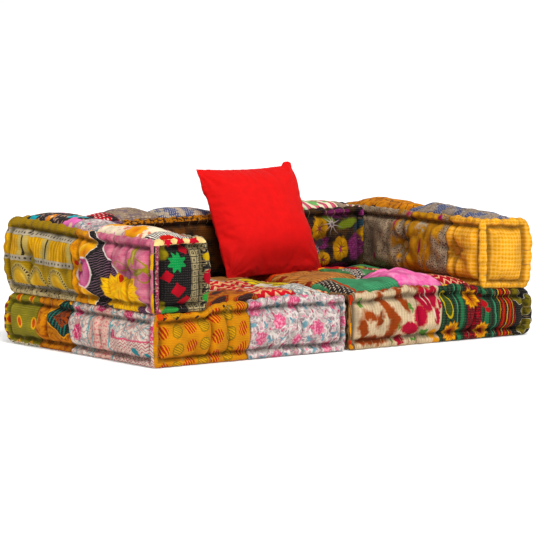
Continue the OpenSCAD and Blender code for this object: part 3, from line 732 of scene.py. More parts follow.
def stitch_rolls(name):
    """One piece with a tube of thread along every stitch of a cushion."""
    cushion = CUSHIONS[name]
    box = stitch_paths(name)
    rows, steps = box.shape[:2]
    box = box.reshape(-1, 3)
    form = stuffed(name, box, np.full(len(box), ROOM))[0].reshape(rows, steps, 3)
    core = np.clip(box, cushion["lo"] + ROLL, cushion["hi"] - ROLL)
    out = unit((box - core).reshape(rows, steps, 3))
    side = unit(np.cross(unit(np.gradient(form, axis=1)), out))
    middle = form + out * THREAD_R * 0.6
    ring = np.cos(TURNS)[:, None, None, None] * out + np.sin(TURNS)[:, None, None, None] * side
    points = (middle + ring * THREAD_R).transpose(1, 2, 0, 3).reshape(-1, 3)
    points[:, 2] = np.maximum(points[:, 2], cushion["lo"][2])
    start = (np.arange(rows)[:, None] * steps + np.arange(steps - 1)).reshape(-1, 1) * THREAD_SIDES
    now = start + np.arange(THREAD_SIDES)
    after = start + (np.arange(THREAD_SIDES) + 1) % THREAD_SIDES
    quads = np.stack([now, after, after + THREAD_SIDES, now + THREAD_SIDES], -1).reshape(-1, 4)
    piece = new_piece("stitches_" + name, points, quads)
    piece.data.materials.append(TWINE)
    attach(piece, name)
    print("stitches", name, rows, "stitches,", len(quads), "quads")


# %% [markdown]
# ## Printed and quilted cotton
# The covers are old block-printed and ikat cottons, quilted by hand: rows of running stitches hold two
# or three thin layers together, and washing has faded and crinkled them. A photograph of cloth could be
# wrapped on, but here each print is drawn by shader nodes in real millimetres, so it stays sharp close
# up. One function, `add`, adds a node with its settings and links. The others draw printer's motifs with
# it: each gives a number that is below 1 inside the motif, and `lay` prints a dye there.

# %% One function adds a node, and a few work with numbers and places
def new_tree(owner):
    """Clears the nodes of a material or of the world; `add` then builds in that tree."""
    global tree
    owner.use_nodes = True
    tree = owner.node_tree
    tree.nodes.clear()


def add(kind, links=(), out=0, **settings):
    """Adds a shader node. `links` are its inputs, in order or by name: a socket or a value."""
    node = tree.nodes.new("ShaderNode" + kind)
    for setting, value in settings.items():
        setattr(node, setting, value)
    for key, value in (links.items() if isinstance(links, dict) else enumerate(links)):
        if isinstance(value, bpy.types.NodeSocket):
            tree.links.new(value, node.inputs[key])
        else:
            node.inputs[key].default_value = value
    return node.outputs[out] if node.outputs else None


def maths(operation, *values):
    """Adds one sum on numbers."""
    return add("Math", values, operation=operation)


def split(place):
    """The x, y and z of a place, as three numbers."""
    return add("SeparateXYZ", [place]).node.outputs


def in_mm(place):
    """A place in metres as one in millimetres."""
    return add("VectorMath", {0: place, "Scale": 1000.0}, operation="SCALE")


def dye(code):
    """Turns an sRGB hex code into the linear colour that Blender works in."""
    parts = [int(code[i:i + 2], 16) / 255 for i in (0, 2, 4)]
    return tuple(p / 12.92 if p <= 0.04045 else ((p + 0.055) / 1.055) ** 2.4 for p in parts) + (1,)


print("mustard dye in linear light", [round(c, 3) for c in dye("D18E2B")])

# %% Where a motif lies
def motif(spot, x, y, wide, tall, turn=0):
    """An oval motif: (number that is 1 on its edge, place within it). Sizes in mm, half widths."""
    own = add("Mapping", [spot, (x, y, 0), (0, 0, math.radians(turn)), (wide, tall, 1)],
              vector_type="TEXTURE")
    return add("VectorMath", [own], out=1, operation="LENGTH"), own


def oval(spot, *place):
    """The number of an oval motif alone."""
    return motif(spot, *place)[0]


def lozenge(spot, *place, meet="ADD"):
    """A motif with four straight sides: a lozenge, or a rectangle where `meet` is MAXIMUM."""
    x, y, _ = split(motif(spot, *place)[1])
    return maths(meet, maths("ABSOLUTE", x), maths("ABSOLUTE", y))


def dots(spot, pitch, size):
    """Round dots of the given radius in rows, every other row moved by half a pitch."""
    return oval(repeats(spot, pitch, pitch, 0, 0, pitch / 2), 0, 0, size, size)


def petals(far, own, count, depth, turn=0.0):
    """Makes a motif's edge wavy, as petals or points round its middle."""
    x, y, _ = split(own)
    wave = maths("COSINE", maths("MULTIPLY_ADD", maths("ARCTAN2", y, x), float(count), turn))
    return maths("MULTIPLY", far, maths("MULTIPLY_ADD", wave, depth, 1.0))


def wander(spot, size, reach):
    """The place moved about a little, so that what repeats looks drawn and printed by hand."""
    cloud = add("TexNoise", {"Vector": spot, "Scale": 1 / size, "Detail": 1.0}, out=1,
                noise_dimensions="2D")
    moved = add("VectorMath", [cloud, (reach, reach, 0), spot], operation="MULTIPLY_ADD")
    return add("VectorMath", [moved, (reach / 2, reach / 2, 0)], operation="SUBTRACT")


def repeats(spot, across, up, x=0.0, y=0.0, drop=0.0):
    """The place within one repeat of a print, in mm from its middle, with every other row moved."""
    along, height, _ = split(spot)
    row = maths("FLOOR", maths("DIVIDE", maths("SUBTRACT", height, y - up / 2), up))
    moved = maths("MULTIPLY_ADD", maths("PINGPONG", row, 1.0), -drop, along)
    top = (x + across / 2, y + up / 2, 1)
    low = (x - across / 2, y - up / 2, -1)
    cell = add("VectorMath", [add("CombineXYZ", [moved, height, 0.0]), top, low], operation="WRAP")
    return add("VectorMath", [cell, (x, y, 0)], operation="SUBTRACT")


def bars(spot, pitch, share, turn=0, x=0.0, y=0.0):
    """Stripes: the number is below 1 within the given share of each pitch."""
    own = add("Mapping", [spot, (x, y, 0), (0, 0, math.radians(turn)), (pitch * share / 2,) * 3],
              vector_type="TEXTURE")
    return maths("PINGPONG", split(own)[0], 1 / share)


def zigzag(spot, pitch, share, width, height, y=0.0):
    """Stripes that run across the cloth in zig-zags of the given width and height."""
    along, level, _ = split(add("VectorMath", [spot, (0, y, 0)], operation="SUBTRACT"))
    teeth = maths("PINGPONG", along, width / 2)
    lifted = maths("MULTIPLY_ADD", teeth, -2 * height / width, level)
    return maths("PINGPONG", maths("MULTIPLY", lifted, 2 / (pitch * share)), 1 / share)


def mottles(spot, size, seed, detail=2.0, stretch=(1, 1)):
    """Cloudy number about 1, for blots, scrolls and wear of the given size in mm."""
    own = add("Mapping", [spot, (seed * 37.0, seed * 91.0, 0), (0, 0, 0), (*stretch, 1)],
              vector_type="TEXTURE")
    cloud = add("TexNoise", {"Vector": own, "Scale": 1 / size, "Detail": detail}, noise_dimensions="2D")
    return maths("MULTIPLY", cloud, 2.0)


def outlines(shape, width, edge=1.0):
    """Turns a filled motif into its outline: below 1 within `width` of its edge."""
    return maths("DIVIDE", maths("ABSOLUTE", maths("SUBTRACT", shape, edge)), width)


def within(*shapes):
    """Below 1 only where every one of the shapes is."""
    most = shapes[0]
    for shape in shapes[1:]:
        most = maths("MAXIMUM", most, shape)
    return most


def beyond(spot, axis, start, soft=1.0):
    """Below 1 on one side of a line: where x or y, in mm, is over `start` (soft > 0) or under it."""
    return maths("MULTIPLY_ADD", split(spot)["XY".index(axis)], -1 / soft, 1 + start / soft)


# %% [markdown]
# ## Printing the cloth
# A print is a function that draws on one plain colour, its ground. The line `@ground` above it keeps the
# function in `PRINTS` together with that colour, so the covers can ask for it by name.

# %% Cloth that is printed
PRINTS = {}


class Cloth:
    """Cloth being printed: its colour starts as one dye, and others are laid over it."""

    def __init__(self, code):
        self.colour = dye(code)

    def lay(self, code, shape, edge=1.0, soft=0.06):
        """Lays a dye where the shape's number is below the edge."""
        mask = add("MapRange", [shape, edge + soft, edge - soft, 0.0, 1.0])
        self.colour = add("Mix", {0: mask, 6: self.colour, 7: dye(code)}, out=2, data_type="RGBA")

    def ovals(self, code, spot, places, soft=0.06):
        """Prints one oval for each (x, y, half width, half height, turn)."""
        for place in places:
            self.lay(code, oval(spot, *place), soft=soft)


def ground(code):
    """Keeps a function as a print, with the colour of the plain cloth that it draws on."""
    def keep(draw):
        PRINTS[draw.__name__] = code, draw
        return draw
    return keep


# %% [markdown]
# ## The quilting over every print
# Real running stitches are about 5 mm long in rows 8 mm apart, and the weave has some 20 threads to the
# centimetre. The stitches are drawn at their size and the weave four times too coarse, because at its
# real scale it would be too fine to show. Old cotton is matt, with the faint bloom of loose fibres, so
# the shader is rough and has a little sheen. Shade is painted into the colour of the seams, the creases,
# the hollows and the valleys behind the rolls, and a little painted highlight onto ridges and stitches.

# %% Quilted cotton around a print
STITCH_ROWS, STITCH_STEP, WEAVE = 8.0, 7.5, 2.2
STITCH_HALF_W, STITCH_HALF_L = 0.9, 2.4
THREAD_DYE, THREAD_SHARE, FADE = "E9DEC8", 0.05, 0.20
DRIFT_SIZE, DRIFT = 22, 6.0


def eased(number, near, far, low, high):
    """Takes a number from one range to another, with a soft start and end."""
    return add("MapRange", [number, near, far, low, high], interpolation_type="SMOOTHSTEP")


def surface(inputs):
    """Ends a material: one Principled shader with the given inputs."""
    add("OutputMaterial", [add("BsdfPrincipled", inputs)])


def quilted_cotton(name):
    """A matt quilted cotton with the print of that name on it."""
    mat = bpy.data.materials.new("quilted_cotton_" + name)
    new_tree(mat)
    spot = in_mm(add("UVMap", uv_map="Print"))
    drift = add("TexNoise", {"Vector": spot, "Scale": 1 / DRIFT_SIZE, "Detail": 2.0}, out=1,
                noise_dimensions="2D")
    wavy = add("VectorMath", [drift, (DRIFT, DRIFT, 0.0), spot], operation="MULTIPLY_ADD")
    drawn = add("VectorMath", [wavy, (DRIFT / 2, DRIFT / 2, 0.0)], operation="SUBTRACT")
    code, draw = PRINTS[name]
    cloth = Cloth(code)
    draw(cloth, drawn)
    # Rows of running stitches, a little uneven
    x, y, _ = split(drawn)
    row = maths("DIVIDE", maths("PINGPONG", y, STITCH_ROWS / 2), STITCH_HALF_W)
    dash = maths("DIVIDE", maths("PINGPONG", x, STITCH_STEP / 2), STITCH_HALF_L)
    stitch = within(row, dash)
    thread = add("MapRange", [stitch, 1.3, 0.7, 0.0, THREAD_SHARE])
    colour = add("Mix", {0: thread, 6: cloth.colour, 7: dye(THREAD_DYE)}, out=2, data_type="RGBA")
    # Fading in clouds, then painted light: shade in seams, creases, hollows and valleys, highlight on
    # ridges and stitches
    to_seam, to_edge, _ = split(add("UVMap", uv_map="Seam"))
    hollow = split(add("UVMap", uv_map="Hollow"))[0]
    off_valley = maths("ABSOLUTE", maths("SUBTRACT", to_edge, VALLEY))
    value = add("MapRange", [mottles(spot, 55, 3, 4.0), 0.55, 1.45, 1 - FADE, 1 + FADE])
    for shade in (eased(hollow, -1.0, 1.0, 1.10, 0.62), add("MapRange", [stitch, 1.3, 0.7, 1.0, 1.07]),
                  eased(to_seam, 0.0, 0.004, 0.45, 1.0), eased(off_valley, 0.0, 0.007, 0.66, 1.0)):
        value = maths("MULTIPLY", value, shade)
    colour = add("HueSaturation", {"Saturation": 1.12, "Value": value, "Color": colour})
    # Relief: crinkles, stitches, weave and the seam
    relief = maths("MULTIPLY", mottles(spot, 9, 5, 3.0, (1, 1.8)), 0.55)
    relief = maths("ADD", relief, eased(stitch, 0.5, 2.2, -0.16, 0.0))
    weave = maths("MULTIPLY", maths("PINGPONG", x, WEAVE / 2), maths("PINGPONG", y, WEAVE / 2))
    relief = maths("MULTIPLY_ADD", weave, 0.10, relief)
    relief = maths("ADD", relief, eased(to_seam, 0.0, 0.003, -0.8, 0.0))
    bump = add("Bump", {"Strength": 0.8, "Distance": 0.0012, "Height": relief})
    surface({"Base Color": colour, "Roughness": 0.88, "IOR": 1.5, "Specular IOR Level": 0.15,
             "Sheen Weight": 0.02, "Sheen Roughness": 0.5, "Normal": bump})
    return mat


# %% [markdown]
# ## The prints of the left seat
# Mustard cotton with rows of striped roundels, a pale floral in pink and grey-blue, a rose print with
# teal bands, and two bolder ones behind. Each function draws on a plain ground, from the back forward.

# %% Left seat, front
@ground("CB861D")
def mustard_roundels(cloth, spot):
    # The pleats lift this print towards its right end
    x, y, _ = split(spot)
    level = maths("ADD", y, maths("MULTIPLY_ADD", x, -0.14, -99.0))
    flat = add("CombineXYZ", [x, level, 0.0])
    cloth.lay("B87414", bars(spot, 5.5, 0.5, 90), soft=0.8)
    far = oval(repeats(flat, 104, 61, -659, 124), 0, 0, 20, 22)
    cloth.lay("D08A30", far)
    cloth.lay("A8341C", within(far, bars(spot, 9, 0.6, 25)))
    far = oval(repeats(flat, 104, 61, -711, 120), 0, 0, 20, 22)
    cloth.lay("C79230", far)
    cloth.lay("82641E", outlines(far, 0.08, 0.92), soft=0.3)
    cloth.lay("86651A", within(far, bars(spot, 7, 0.4, 60)), soft=0.2)
    cloth.ovals("241A14", spot, [(-759, 161, 5, 6, 20), (-708, 160, 5, 6, -30), (-629, 160, 8, 4, 15),
                                 (-520, 168, 5, 5, 0)])
    blobs = within(mottles(spot, 13, 2, 1.0), beyond(spot, "Y", 186, 4))
    cloth.lay("D4431A", within(blobs, beyond(spot, "X", -650, 4)), 0.97)
    cloth.ovals("D2451C", spot, [(-775, 172, 12, 14, 0), (-783, 148, 8, 10, 0)])


@ground("B6ACA6")
def pale_floral(cloth, spot):
    cloth.lay("82767A", outlines(mottles(spot, 19, 1, 1.0), 0.10), soft=0.7)
    cloth.lay("D6CDC6", outlines(mottles(spot, 26, 5, 1.0), 0.10), soft=0.5)
    cloth.lay("CF8E9C", outlines(mottles(spot, 24, 11, 1.0), 0.045, 1.1), soft=0.5)
    leaves = repeats(wander(spot, 60, 46), 52, 47, 9, 4, 23)
    cloth.lay("6B939D", oval(leaves, 0, 0, 10, 4.5, 40), soft=0.3)
    cloth.lay("5C828E", oval(leaves, -8, 6, 7, 3.5, -35), soft=0.3)
    cloth.lay("B2506A", oval(leaves, 14, -14, 6, 3, 60), soft=0.4)
    for x, y, size in ((-391, 153, 26), (-232, 159, 24), (-302, 108, 24), (-146, 84, 25), (-376, 62, 22),
                       (-227, 50, 16), (-310, 184, 18), (-180, 190, 17), (-70, 150, 15), (-300, 4, 20),
                       (-90, 20, 18), (-20, 96, 16)):
        far = petals(*motif(spot, x, y, size, size * 0.9), 7, 0.10)
        cloth.lay("C9607E", far, soft=0.1)
        cloth.lay("DD9AAA", within(far, mottles(spot, 9, 8)), 0.93, 0.12)


# %% Left seat, left side
@ground("D8C8BC")
def rose_bands(cloth, spot):
    cloth.lay("B78C88", outlines(mottles(spot, 23, 6, 1.0), 0.12), soft=0.6)
    cloth.lay("6C979A", outlines(mottles(spot, 27, 2, 1.0), 0.07, 1.12), soft=0.4)
    band = within(beyond(spot, "X", -186, 3), beyond(spot, "X", -76, -3))
    cloth.lay("D6B3A4", band)
    cloth.lay("C97F7F", within(band, mottles(spot, 9, 7)), 0.88)
    cloth.ovals("5F9C9F", spot, [(-70, 90, 2.5, 200, 0), (-92, 90, 2, 200, 0), (-193, 90, 3, 200, 0)],
                soft=0.3)
    for x, y, wide, tall in ((-7, 82, 27, 30), (-217, 95, 17, 17), (-289, 165, 30, 22),
                             (-440, 120, 22, 28), (-120, 178, 26, 16), (-395, 10, 28, 16),
                             (15, 150, 20, 16)):
        far = petals(*motif(spot, x, y, wide, tall, 20), 7, 0.10)
        cloth.lay("C2506F", far)
        cloth.lay("DE9AA8", within(far, mottles(spot, 9, 8)), 0.92, 0.08)
    low = within(beyond(spot, "Y", 84, -2), beyond(spot, "X", -200, -3))
    cloth.lay("D6C3B4", low)
    cloth.lay("B56C74", within(low, zigzag(spot, 11, 0.35, 22, 9)))
    cloth.lay("C9697A", within(outlines(oval(spot, -200, 0, 1e4, 86), 0.035),
                               beyond(spot, "X", -200, -3)))
    cloth.ovals("3A8790", spot, [(-345, 48, 17, 14, 0), (-395, 40, 9, 9, 0)])


@ground("C67A18")
def teal_diamond(cloth, spot):
    cloth.lay("9A4E0E", mottles(spot, 16, 1, 3.0), 0.88, 0.18)
    far = lozenge(spot, 88, 119, 112, 68)
    cloth.lay("101A16", far)
    cloth.lay("22695A", within(maths("MULTIPLY", far, 1.08), bars(spot, 17, 0.36, 25)), soft=0.2)
    core = maths("MULTIPLY", far, 2.1)
    cloth.lay("8A3B17", core)
    cloth.lay("2C1510", within(core, mottles(spot, 10, 9)), 0.9)
    cloth.lay("E39A25", outlines(far, 0.035))


@ground("8A8033")
def olive_ovals(cloth, spot):
    cloth.lay("776E27", bars(spot, 6, 0.5, 90), soft=0.6)
    cell = repeats(spot, 75, 84, 338, 86, 36)
    cloth.lay("E3A733", oval(cell, 0, 0, 15, 22))
    cloth.lay("C94A1C", oval(cell, 0, 0, 9, 15))
    roll = beyond(spot, "X", 424, 2)
    cloth.lay("7A2417", roll)
    cloth.lay("C9A12E", within(roll, bars(spot, 24, 0.4, 90)))
    low = beyond(spot, "Y", 12, -2)
    cloth.lay("CFC4A8", low)
    cloth.lay("4A3F2C", within(low, mottles(spot, 8, 3)), 0.85)


# %% [markdown]
# ## The prints of the right seat
# Cream ikat, whose warp was tied and dyed before weaving so that its rust blots have feathered edges,
# then dark green with sunflowers, red and yellow stripes, and an olive and black print at the corner.

# %% Right seat, front
@ground("8A6A4C")
def leaf_edging(cloth, spot):
    cloth.lay("5A3A28", bars(spot, 9, 0.4, 12), soft=0.4)
    cloth.ovals("C0341D", spot, [(10, 168, 9, 22, 10), (6, 20, 8, 16, 0), (24, 150, 7, 12, 0)])
    cloth.ovals("D98A1C", spot, [(18, 60, 9, 30, 12), (10, 12, 10, 10, 0), (5, 110, 6, 30, 0)])
    cloth.ovals("3F6B3A", spot, [(24, 70, 4, 22, 12)])


@ground("CAB598")
def cream_ikat(cloth, spot):
    cloth.lay("BBA482", bars(spot, 11, 0.4, 0), soft=0.8)
    # The dye crept along the threads, so the blots have soft, ragged edges
    crept = wander(spot, 16, 22)
    rust = [(140, 152, 15, 30, 30), (166, 116, 17, 36, 32), (192, 82, 22, 30, 20), (216, 162, 15, 30, 28),
            (240, 130, 14, 28, 28), (176, 48, 20, 26, -20), (88, 106, 32, 15, -22), (62, 66, 16, 38, 8),
            (128, 90, 15, 26, -30), (120, 26, 42, 15, 0), (74, 28, 32, 13, 10), (300, 178, 30, 14, 0),
            (160, 188, 26, 13, 0), (62, 188, 24, 13, 0), (232, 192, 20, 13, 0)]
    cloth.ovals("8A3A18", crept, rust, soft=0.3)
    cloth.ovals("56803C", crept, [(55, 144, 5, 17, 30), (262, 118, 5, 16, 30), (210, 62, 5, 12, 20),
                                  (100, 188, 5, 9, 0), (190, 20, 7, 6, 0), (329, 37, 24, 9, -30),
                                  (345, 178, 7, 10, 0), (284, 20, 12, 5, 20)], soft=0.2)
    crimson = [(334, 140, 32, 42, 18), (366, 150, 16, 38, -10), (302, 88, 28, 34, 18),
               (258, 54, 38, 20, -10), (222, 20, 20, 15, 0), (374, 84, 11, 30, 15), (378, 160, 10, 22, 0),
               (388, 120, 9, 18, 0)]
    cloth.ovals("A01530", wander(spot, 9, 12), crimson, soft=0.16)
    cloth.ovals("DCC3B2", spot, [(340, 150, 2.5, 24, 18), (362, 92, 3, 22, 25), (322, 140, 2, 16, 22)],
                soft=0.5)
    cloth.ovals("D8912A", spot, [(369, 30, 17, 14, 0), (384, 8, 14, 10, 0)], soft=0.2)


@ground("16180F")
def forest_sunflowers(cloth, spot):
    cloth.lay("1B3A24", bars(spot, 19, 0.5, 0, 6), soft=0.5)
    cloth.ovals("286240", spot, [(488, 90, 8, 400, 0), (596, 90, 9, 400, 0)], soft=0.1)
    cloth.ovals("3E8060", spot, [(638, 90, 2.5, 400, 0), (466, 90, 2, 400, 0)], soft=0.3)
    maroon = within(beyond(spot, "X", 512, 2), beyond(spot, "X", 572, -2))
    cloth.lay("52161A", maroon)
    cloth.lay("8E1F28", within(maroon, mottles(spot, 9, 3)), 0.9)
    cloth.ovals("A01F26", spot, [(586, 124, 16, 14, 20), (600, 104, 12, 8, 0), (590, 150, 10, 6, 0)],
                soft=0.2)
    leaf = oval(spot, 424, 118, 17, 40, 14)
    cloth.lay("B9A02C", outlines(leaf, 0.10))
    cloth.lay("33431A", leaf, 0.9)
    for x, y, size in ((533, 136, 29), (447, 32, 31), (585, 30, 28), (430, 196, 18)):
        far, own = motif(spot, x, y, size, size)
        cloth.lay("C07C18", petals(far, own, 11, 0.12), soft=0.1)
        cloth.lay("DCA030", outlines(petals(far, own, 11, 0.12), 0.10, 0.8), soft=0.4)
        cloth.lay("A44A0E", petals(far, own, 18, 0.4), 0.5, 0.15)
        cloth.lay("6A1512", far, 0.3)


@ground("1C0F0C")
def fire_stripes(cloth, spot):
    cloth.lay("861A14", bars(spot, 26, 0.5, -3, 668), soft=0.1)
    cloth.lay("C8962A", bars(spot, 26, 0.13, -3, 682), soft=0.3)
    cloth.lay("B8361A", bars(spot, 26, 0.14, -3, 668), soft=0.4)


@ground("6B5E16")
def olive_shadow(cloth, spot):
    cloth.lay("4B430F", mottles(spot, 12, 2, 3.0), 0.9, 0.1)
    blot = mottles(spot, 44, 5, 1.0)
    cloth.lay("14110F", blot, 0.98, 0.02)
    cloth.lay("CFC7B4", outlines(blot, 0.018, 0.98))
    cloth.ovals("15120F", spot, [(735, 60, 14, 60, 0)])


# %% [markdown]
# ## The prints of the left arm
# Its outer side has a bordered print with windows and pointed arches behind, and in front a large
# free-hand print: a magenta petal, a black zig-zag field with fine curved lines, and a chrysanthemum on
# mauve. Its end is black with a green star and red lozenges, and a cream chain of small squares.

# %% Left arm, outer side
@ground("9E7D1E")
def arches_and_windows(cloth, spot):
    cloth.lay("8E6E19", bars(spot, 6, 0.5, 90), soft=0.6)
    windows = within(beyond(spot, "Y", 306, 2), beyond(spot, "Y", 371, -2))
    cell = repeats(spot, 147, 400, 254, 338)
    cloth.lay("B29C5E", windows)
    block = within(windows, oval(cell, 0, 0, 48, 500))
    cloth.lay("BD8519", block)
    cloth.lay("DBA838", within(block, bars(spot, 15, 0.4)), soft=0.25)
    off = maths("ABSOLUTE", split(cell)[0])
    cloth.lay("2B2012", within(windows, outlines(off, 4.0, 73.5)), soft=0.25)
    for level in (381, 297, 212):
        band = oval(spot, 0, level, 1e5, 9)
        cloth.lay("ACA08A", band)
        beads = repeats(spot, 17, 400, 0, level)
        cloth.lay("3B3024", oval(beads, 0, 0, 3.4, 3.4), soft=0.3)
    for middle in (346, 239, 120):
        arch, own = motif(spot, middle, 213, 54, 68)
        above = beyond(spot, "Y", 214, 3)
        cloth.lay("B7A468", within(arch, above))
        beads = within(outlines(arch, 0.06, 0.90), petals(0.9, own, 40, 0.5), above)
        cloth.lay("3E2C18", beads, soft=0.2)
        cloth.lay("6B5520", within(arch, above), 0.78)
        cloth.lay("CFB56A", within(arch, above), 0.72)
        cloth.lay("C8952A", within(oval(spot, middle, 214, 29, 46), above), soft=0.4)
    low = beyond(spot, "Y", 204, -2)
    cloth.lay("B7A57B", low)
    cloth.lay("3A2A1E", within(low, mottles(spot, 9, 3)), 0.8)


@ground("B8627A")
def chrysanthemum_field(cloth, spot):
    cloth.lay("C98590", mottles(spot, 30, 1, 4.0), 1.0, 0.25)
    # Olive tendrils and leaves
    for x, y, wide, tall, turn in ((-262, 326, 26, 13, 20), (-356, 338, 46, 20, 8),
                                   (-386, 302, 26, 18, 30)):
        cloth.lay("8E7C26", outlines(oval(spot, x, y, wide, tall, turn), 0.09), soft=0.3)
    cloth.ovals("958733", spot, [(-335, 366, 12, 30, -12), (-314, 334, 10, 22, 15),
                                 (-366, 314, 26, 10, -20), (-398, 322, 12, 8, 20)], soft=0.15)
    cloth.ovals("C2AD62", spot, [(-335, 366, 4, 20, -12), (-366, 314, 15, 4, -20)], soft=0.5)
    # Orange strip with yellow petals
    x, y, _ = split(spot)
    strip = beyond(spot, "X", -100, 6)
    cloth.lay("D88E18", strip)
    cloth.lay("BE7412", within(strip, mottles(spot, 18, 4, 3.0)), 0.88, 0.12)
    cloth.ovals("F0CC82", spot, [(-62, 360, 47, 31, -28), (-62, 208, 46, 26, 28)])
    cloth.ovals("EBA62A", spot, [(-60, 361, 40, 25, -28), (-60, 207, 39, 20, 28)], soft=0.3)
    cloth.ovals("DE7A1C", spot, [(-45, 352, 22, 10, -28)], soft=0.7)
    # The black field: its left edge runs in teeth, and fine lines cross it and bend downwards
    teeth = maths("PINGPONG", maths("ADD", y, -331.0), 46.0)
    left = maths("MULTIPLY_ADD", maths("MULTIPLY_ADD", teeth, 1.4, x), 1 / 3, 1 + 44 / 3)
    right = maths("MULTIPLY_ADD", maths("MULTIPLY_ADD", y, -1.35, x), -1 / 5, 1 - 655 / 5)
    field = within(left, right)
    cloth.lay("EADCD2", maths("ADD", field, -1.6), soft=0.3)
    cloth.lay("100D0E", field)
    cloth.lay("47223C", within(field, beyond(spot, "X", -215, -50)), soft=0.8)
    bent = maths("MULTIPLY_ADD", maths("MULTIPLY", x, x), -0.0010, y)
    lines = maths("DIVIDE", maths("PINGPONG", bent, 4.3), 0.7)
    cloth.lay("8E6A7A", within(field, maths("ADD", left, 9.0), lines), soft=0.4)
    cloth.ovals("EADCD2", spot, [(-44, 286, 60, 52, 8)], soft=0.03)
    cloth.ovals("BC4C7C", spot, [(-43, 286, 54, 47, 8)], soft=0.05)
    cloth.ovals("DA8AA6", spot, [(-50, 280, 26, 30, 8)], soft=0.9)
    # The chrysanthemum: two rounds of petals from its heart, and orange between them
    far, own = motif(spot, -266, 234, 104, 64)
    outer = petals(petals(far, own, 15, 0.09), own, 4, 0.07, 0.6)
    cloth.lay("F6C032", outer)
    cloth.lay("C98A1A", outlines(petals(far, own, 15, 0.3), 0.05, 0.74), soft=0.6)
    low = motif(spot, -266, 262, 84, 60)
    rays = petals(*low, 19, 0.5, 0.4)
    cloth.lay("E69A2C", within(rays, outer), 0.62, 0.22)
    cloth.lay("F0C440", within(petals(*low, 11, 0.5), outer), 0.36, 0.15)
    cloth.ovals("CB3420", spot, [(-264, 284, 9, 13, 0), (18, 312, 8, 8, 0)])
    cloth.ovals("DEA82A", spot, [(-438, 352, 24, 26, 0), (-440, 210, 12, 40, 0)], soft=0.1)


# %% Left arm, front end and top
@ground("0E0B0C")
def star_and_lozenges(cloth, spot):
    cloth.lay("221B1A", dots(spot, 9, 1.6), soft=0.5)
    cloth.ovals("8C7A1E", spot, [(-765, 380, 17, 22, 0), (-766, 200, 16, 20, 20)], soft=0.2)
    cloth.lay("2E8A4C", petals(*motif(spot, -721, 348, 26, 28), 8, 0.2))
    for x, y, wide, tall in ((-684, 386, 19, 15), (-752, 302, 20, 21), (-716, 256, 26, 27),
                             (-682, 220, 27, 18)):
        cloth.lay("A51C28", lozenge(spot, x, y, wide, tall, 12))
    cloth.ovals("35803F", spot, [(-738, 188, 36, 12, 5)])
    chain = beyond(spot, "X", -666, 2)
    cloth.lay("1B1715", chain)
    cell = repeats(spot, 22, 22, -652, 264)
    link = within(chain, lozenge(cell, 0, 0, 9.5, 9.5, meet="MAXIMUM"))
    for code, size, soft in (("A39470", 1.0, 0.12), ("1B1715", 0.5, 0.12), ("A39470", 0.2, 0.1)):
        cloth.lay(code, link, size, soft)
    cloth.lay("1B1716", within(beyond(spot, "X", -612, 2), mottles(spot, 12, 6)))
    cloth.ovals("A5182A", spot, [(-596, 292, 15, 25, 0)])
    cloth.ovals("3B8A3E", spot, [(-596, 226, 14, 16, 0)])
    cloth.ovals("C9A52C", spot, [(-598, 360, 12, 14, 0)])
    # Ribbon along the left roll
    ribbon = beyond(spot, "X", -776, -2)
    cloth.lay("8E3F50", ribbon)
    cloth.lay("C48E8C", within(ribbon, mottles(spot, 8, 2)), 0.85)
    cloth.ovals("120F10", spot, [(-797, 300, 4, 400, 0)])
    # Cream top roll with red flowers
    top = beyond(spot, "Y", 405, 3)
    cloth.lay("F0D193", top)
    for x in (-741, -694, -641):
        cloth.lay("C02838", petals(*motif(spot, x, 418, 15, 17), 6, 0.2))


@ground("F5E4C6")
def cream_coral(cloth, spot):
    cloth.lay("E88C74", mottles(spot, 60, 3, 3.0), 0.88, 0.04)
    cloth.lay("D9A6B0", mottles(spot, 26, 5, 2.0), 0.72, 0.05)
    far, own = motif(repeats(spot, 170, 190, -745, -250, 60), 0, 0, 42, 46)
    cloth.lay("F3A62A", petals(far, own, 9, 0.12))
    cloth.lay("E07A1C", far, 0.35, 0.2)


@ground("EFE7D8")
def black_hatch(cloth, spot):
    cloth.lay("1C1918", bars(spot, 8, 0.5, 0), soft=0.2)
    cloth.ovals("C8302E", spot, [(-715, -400, 30, 20, 0), (-640, -380, 18, 14, 0)])


@ground("1F1A1C")
def night_floral(cloth, spot):
    cloth.lay("B08A78", mottles(spot, 20, 8, 2.0), 0.84, 0.03)
    for x, y, colour, size in ((-780, 350, "3AA6B0", 34), (-700, 150, "3AA6B0", 38),
                               (-745, 260, "E08A3A", 24), (-650, 300, "D9789A", 30),
                               (-770, 120, "E27FB4", 46), (-640, 380, "C23A3A", 26)):
        far, own = motif(spot, x, y, size, size * 0.8)
        cloth.lay(colour, petals(far, own, 6, 0.2))
        cloth.lay("F0D8B0", far, 0.28)


# %% [markdown]
# ## The prints of the back and the right arm
# Purple with yellow flowers and dark leaves, mottled beige and slate weaves on the tops, and on the
# arm a speckled beige, a worn ochre that turns into grey speckle, and a golden plaid.

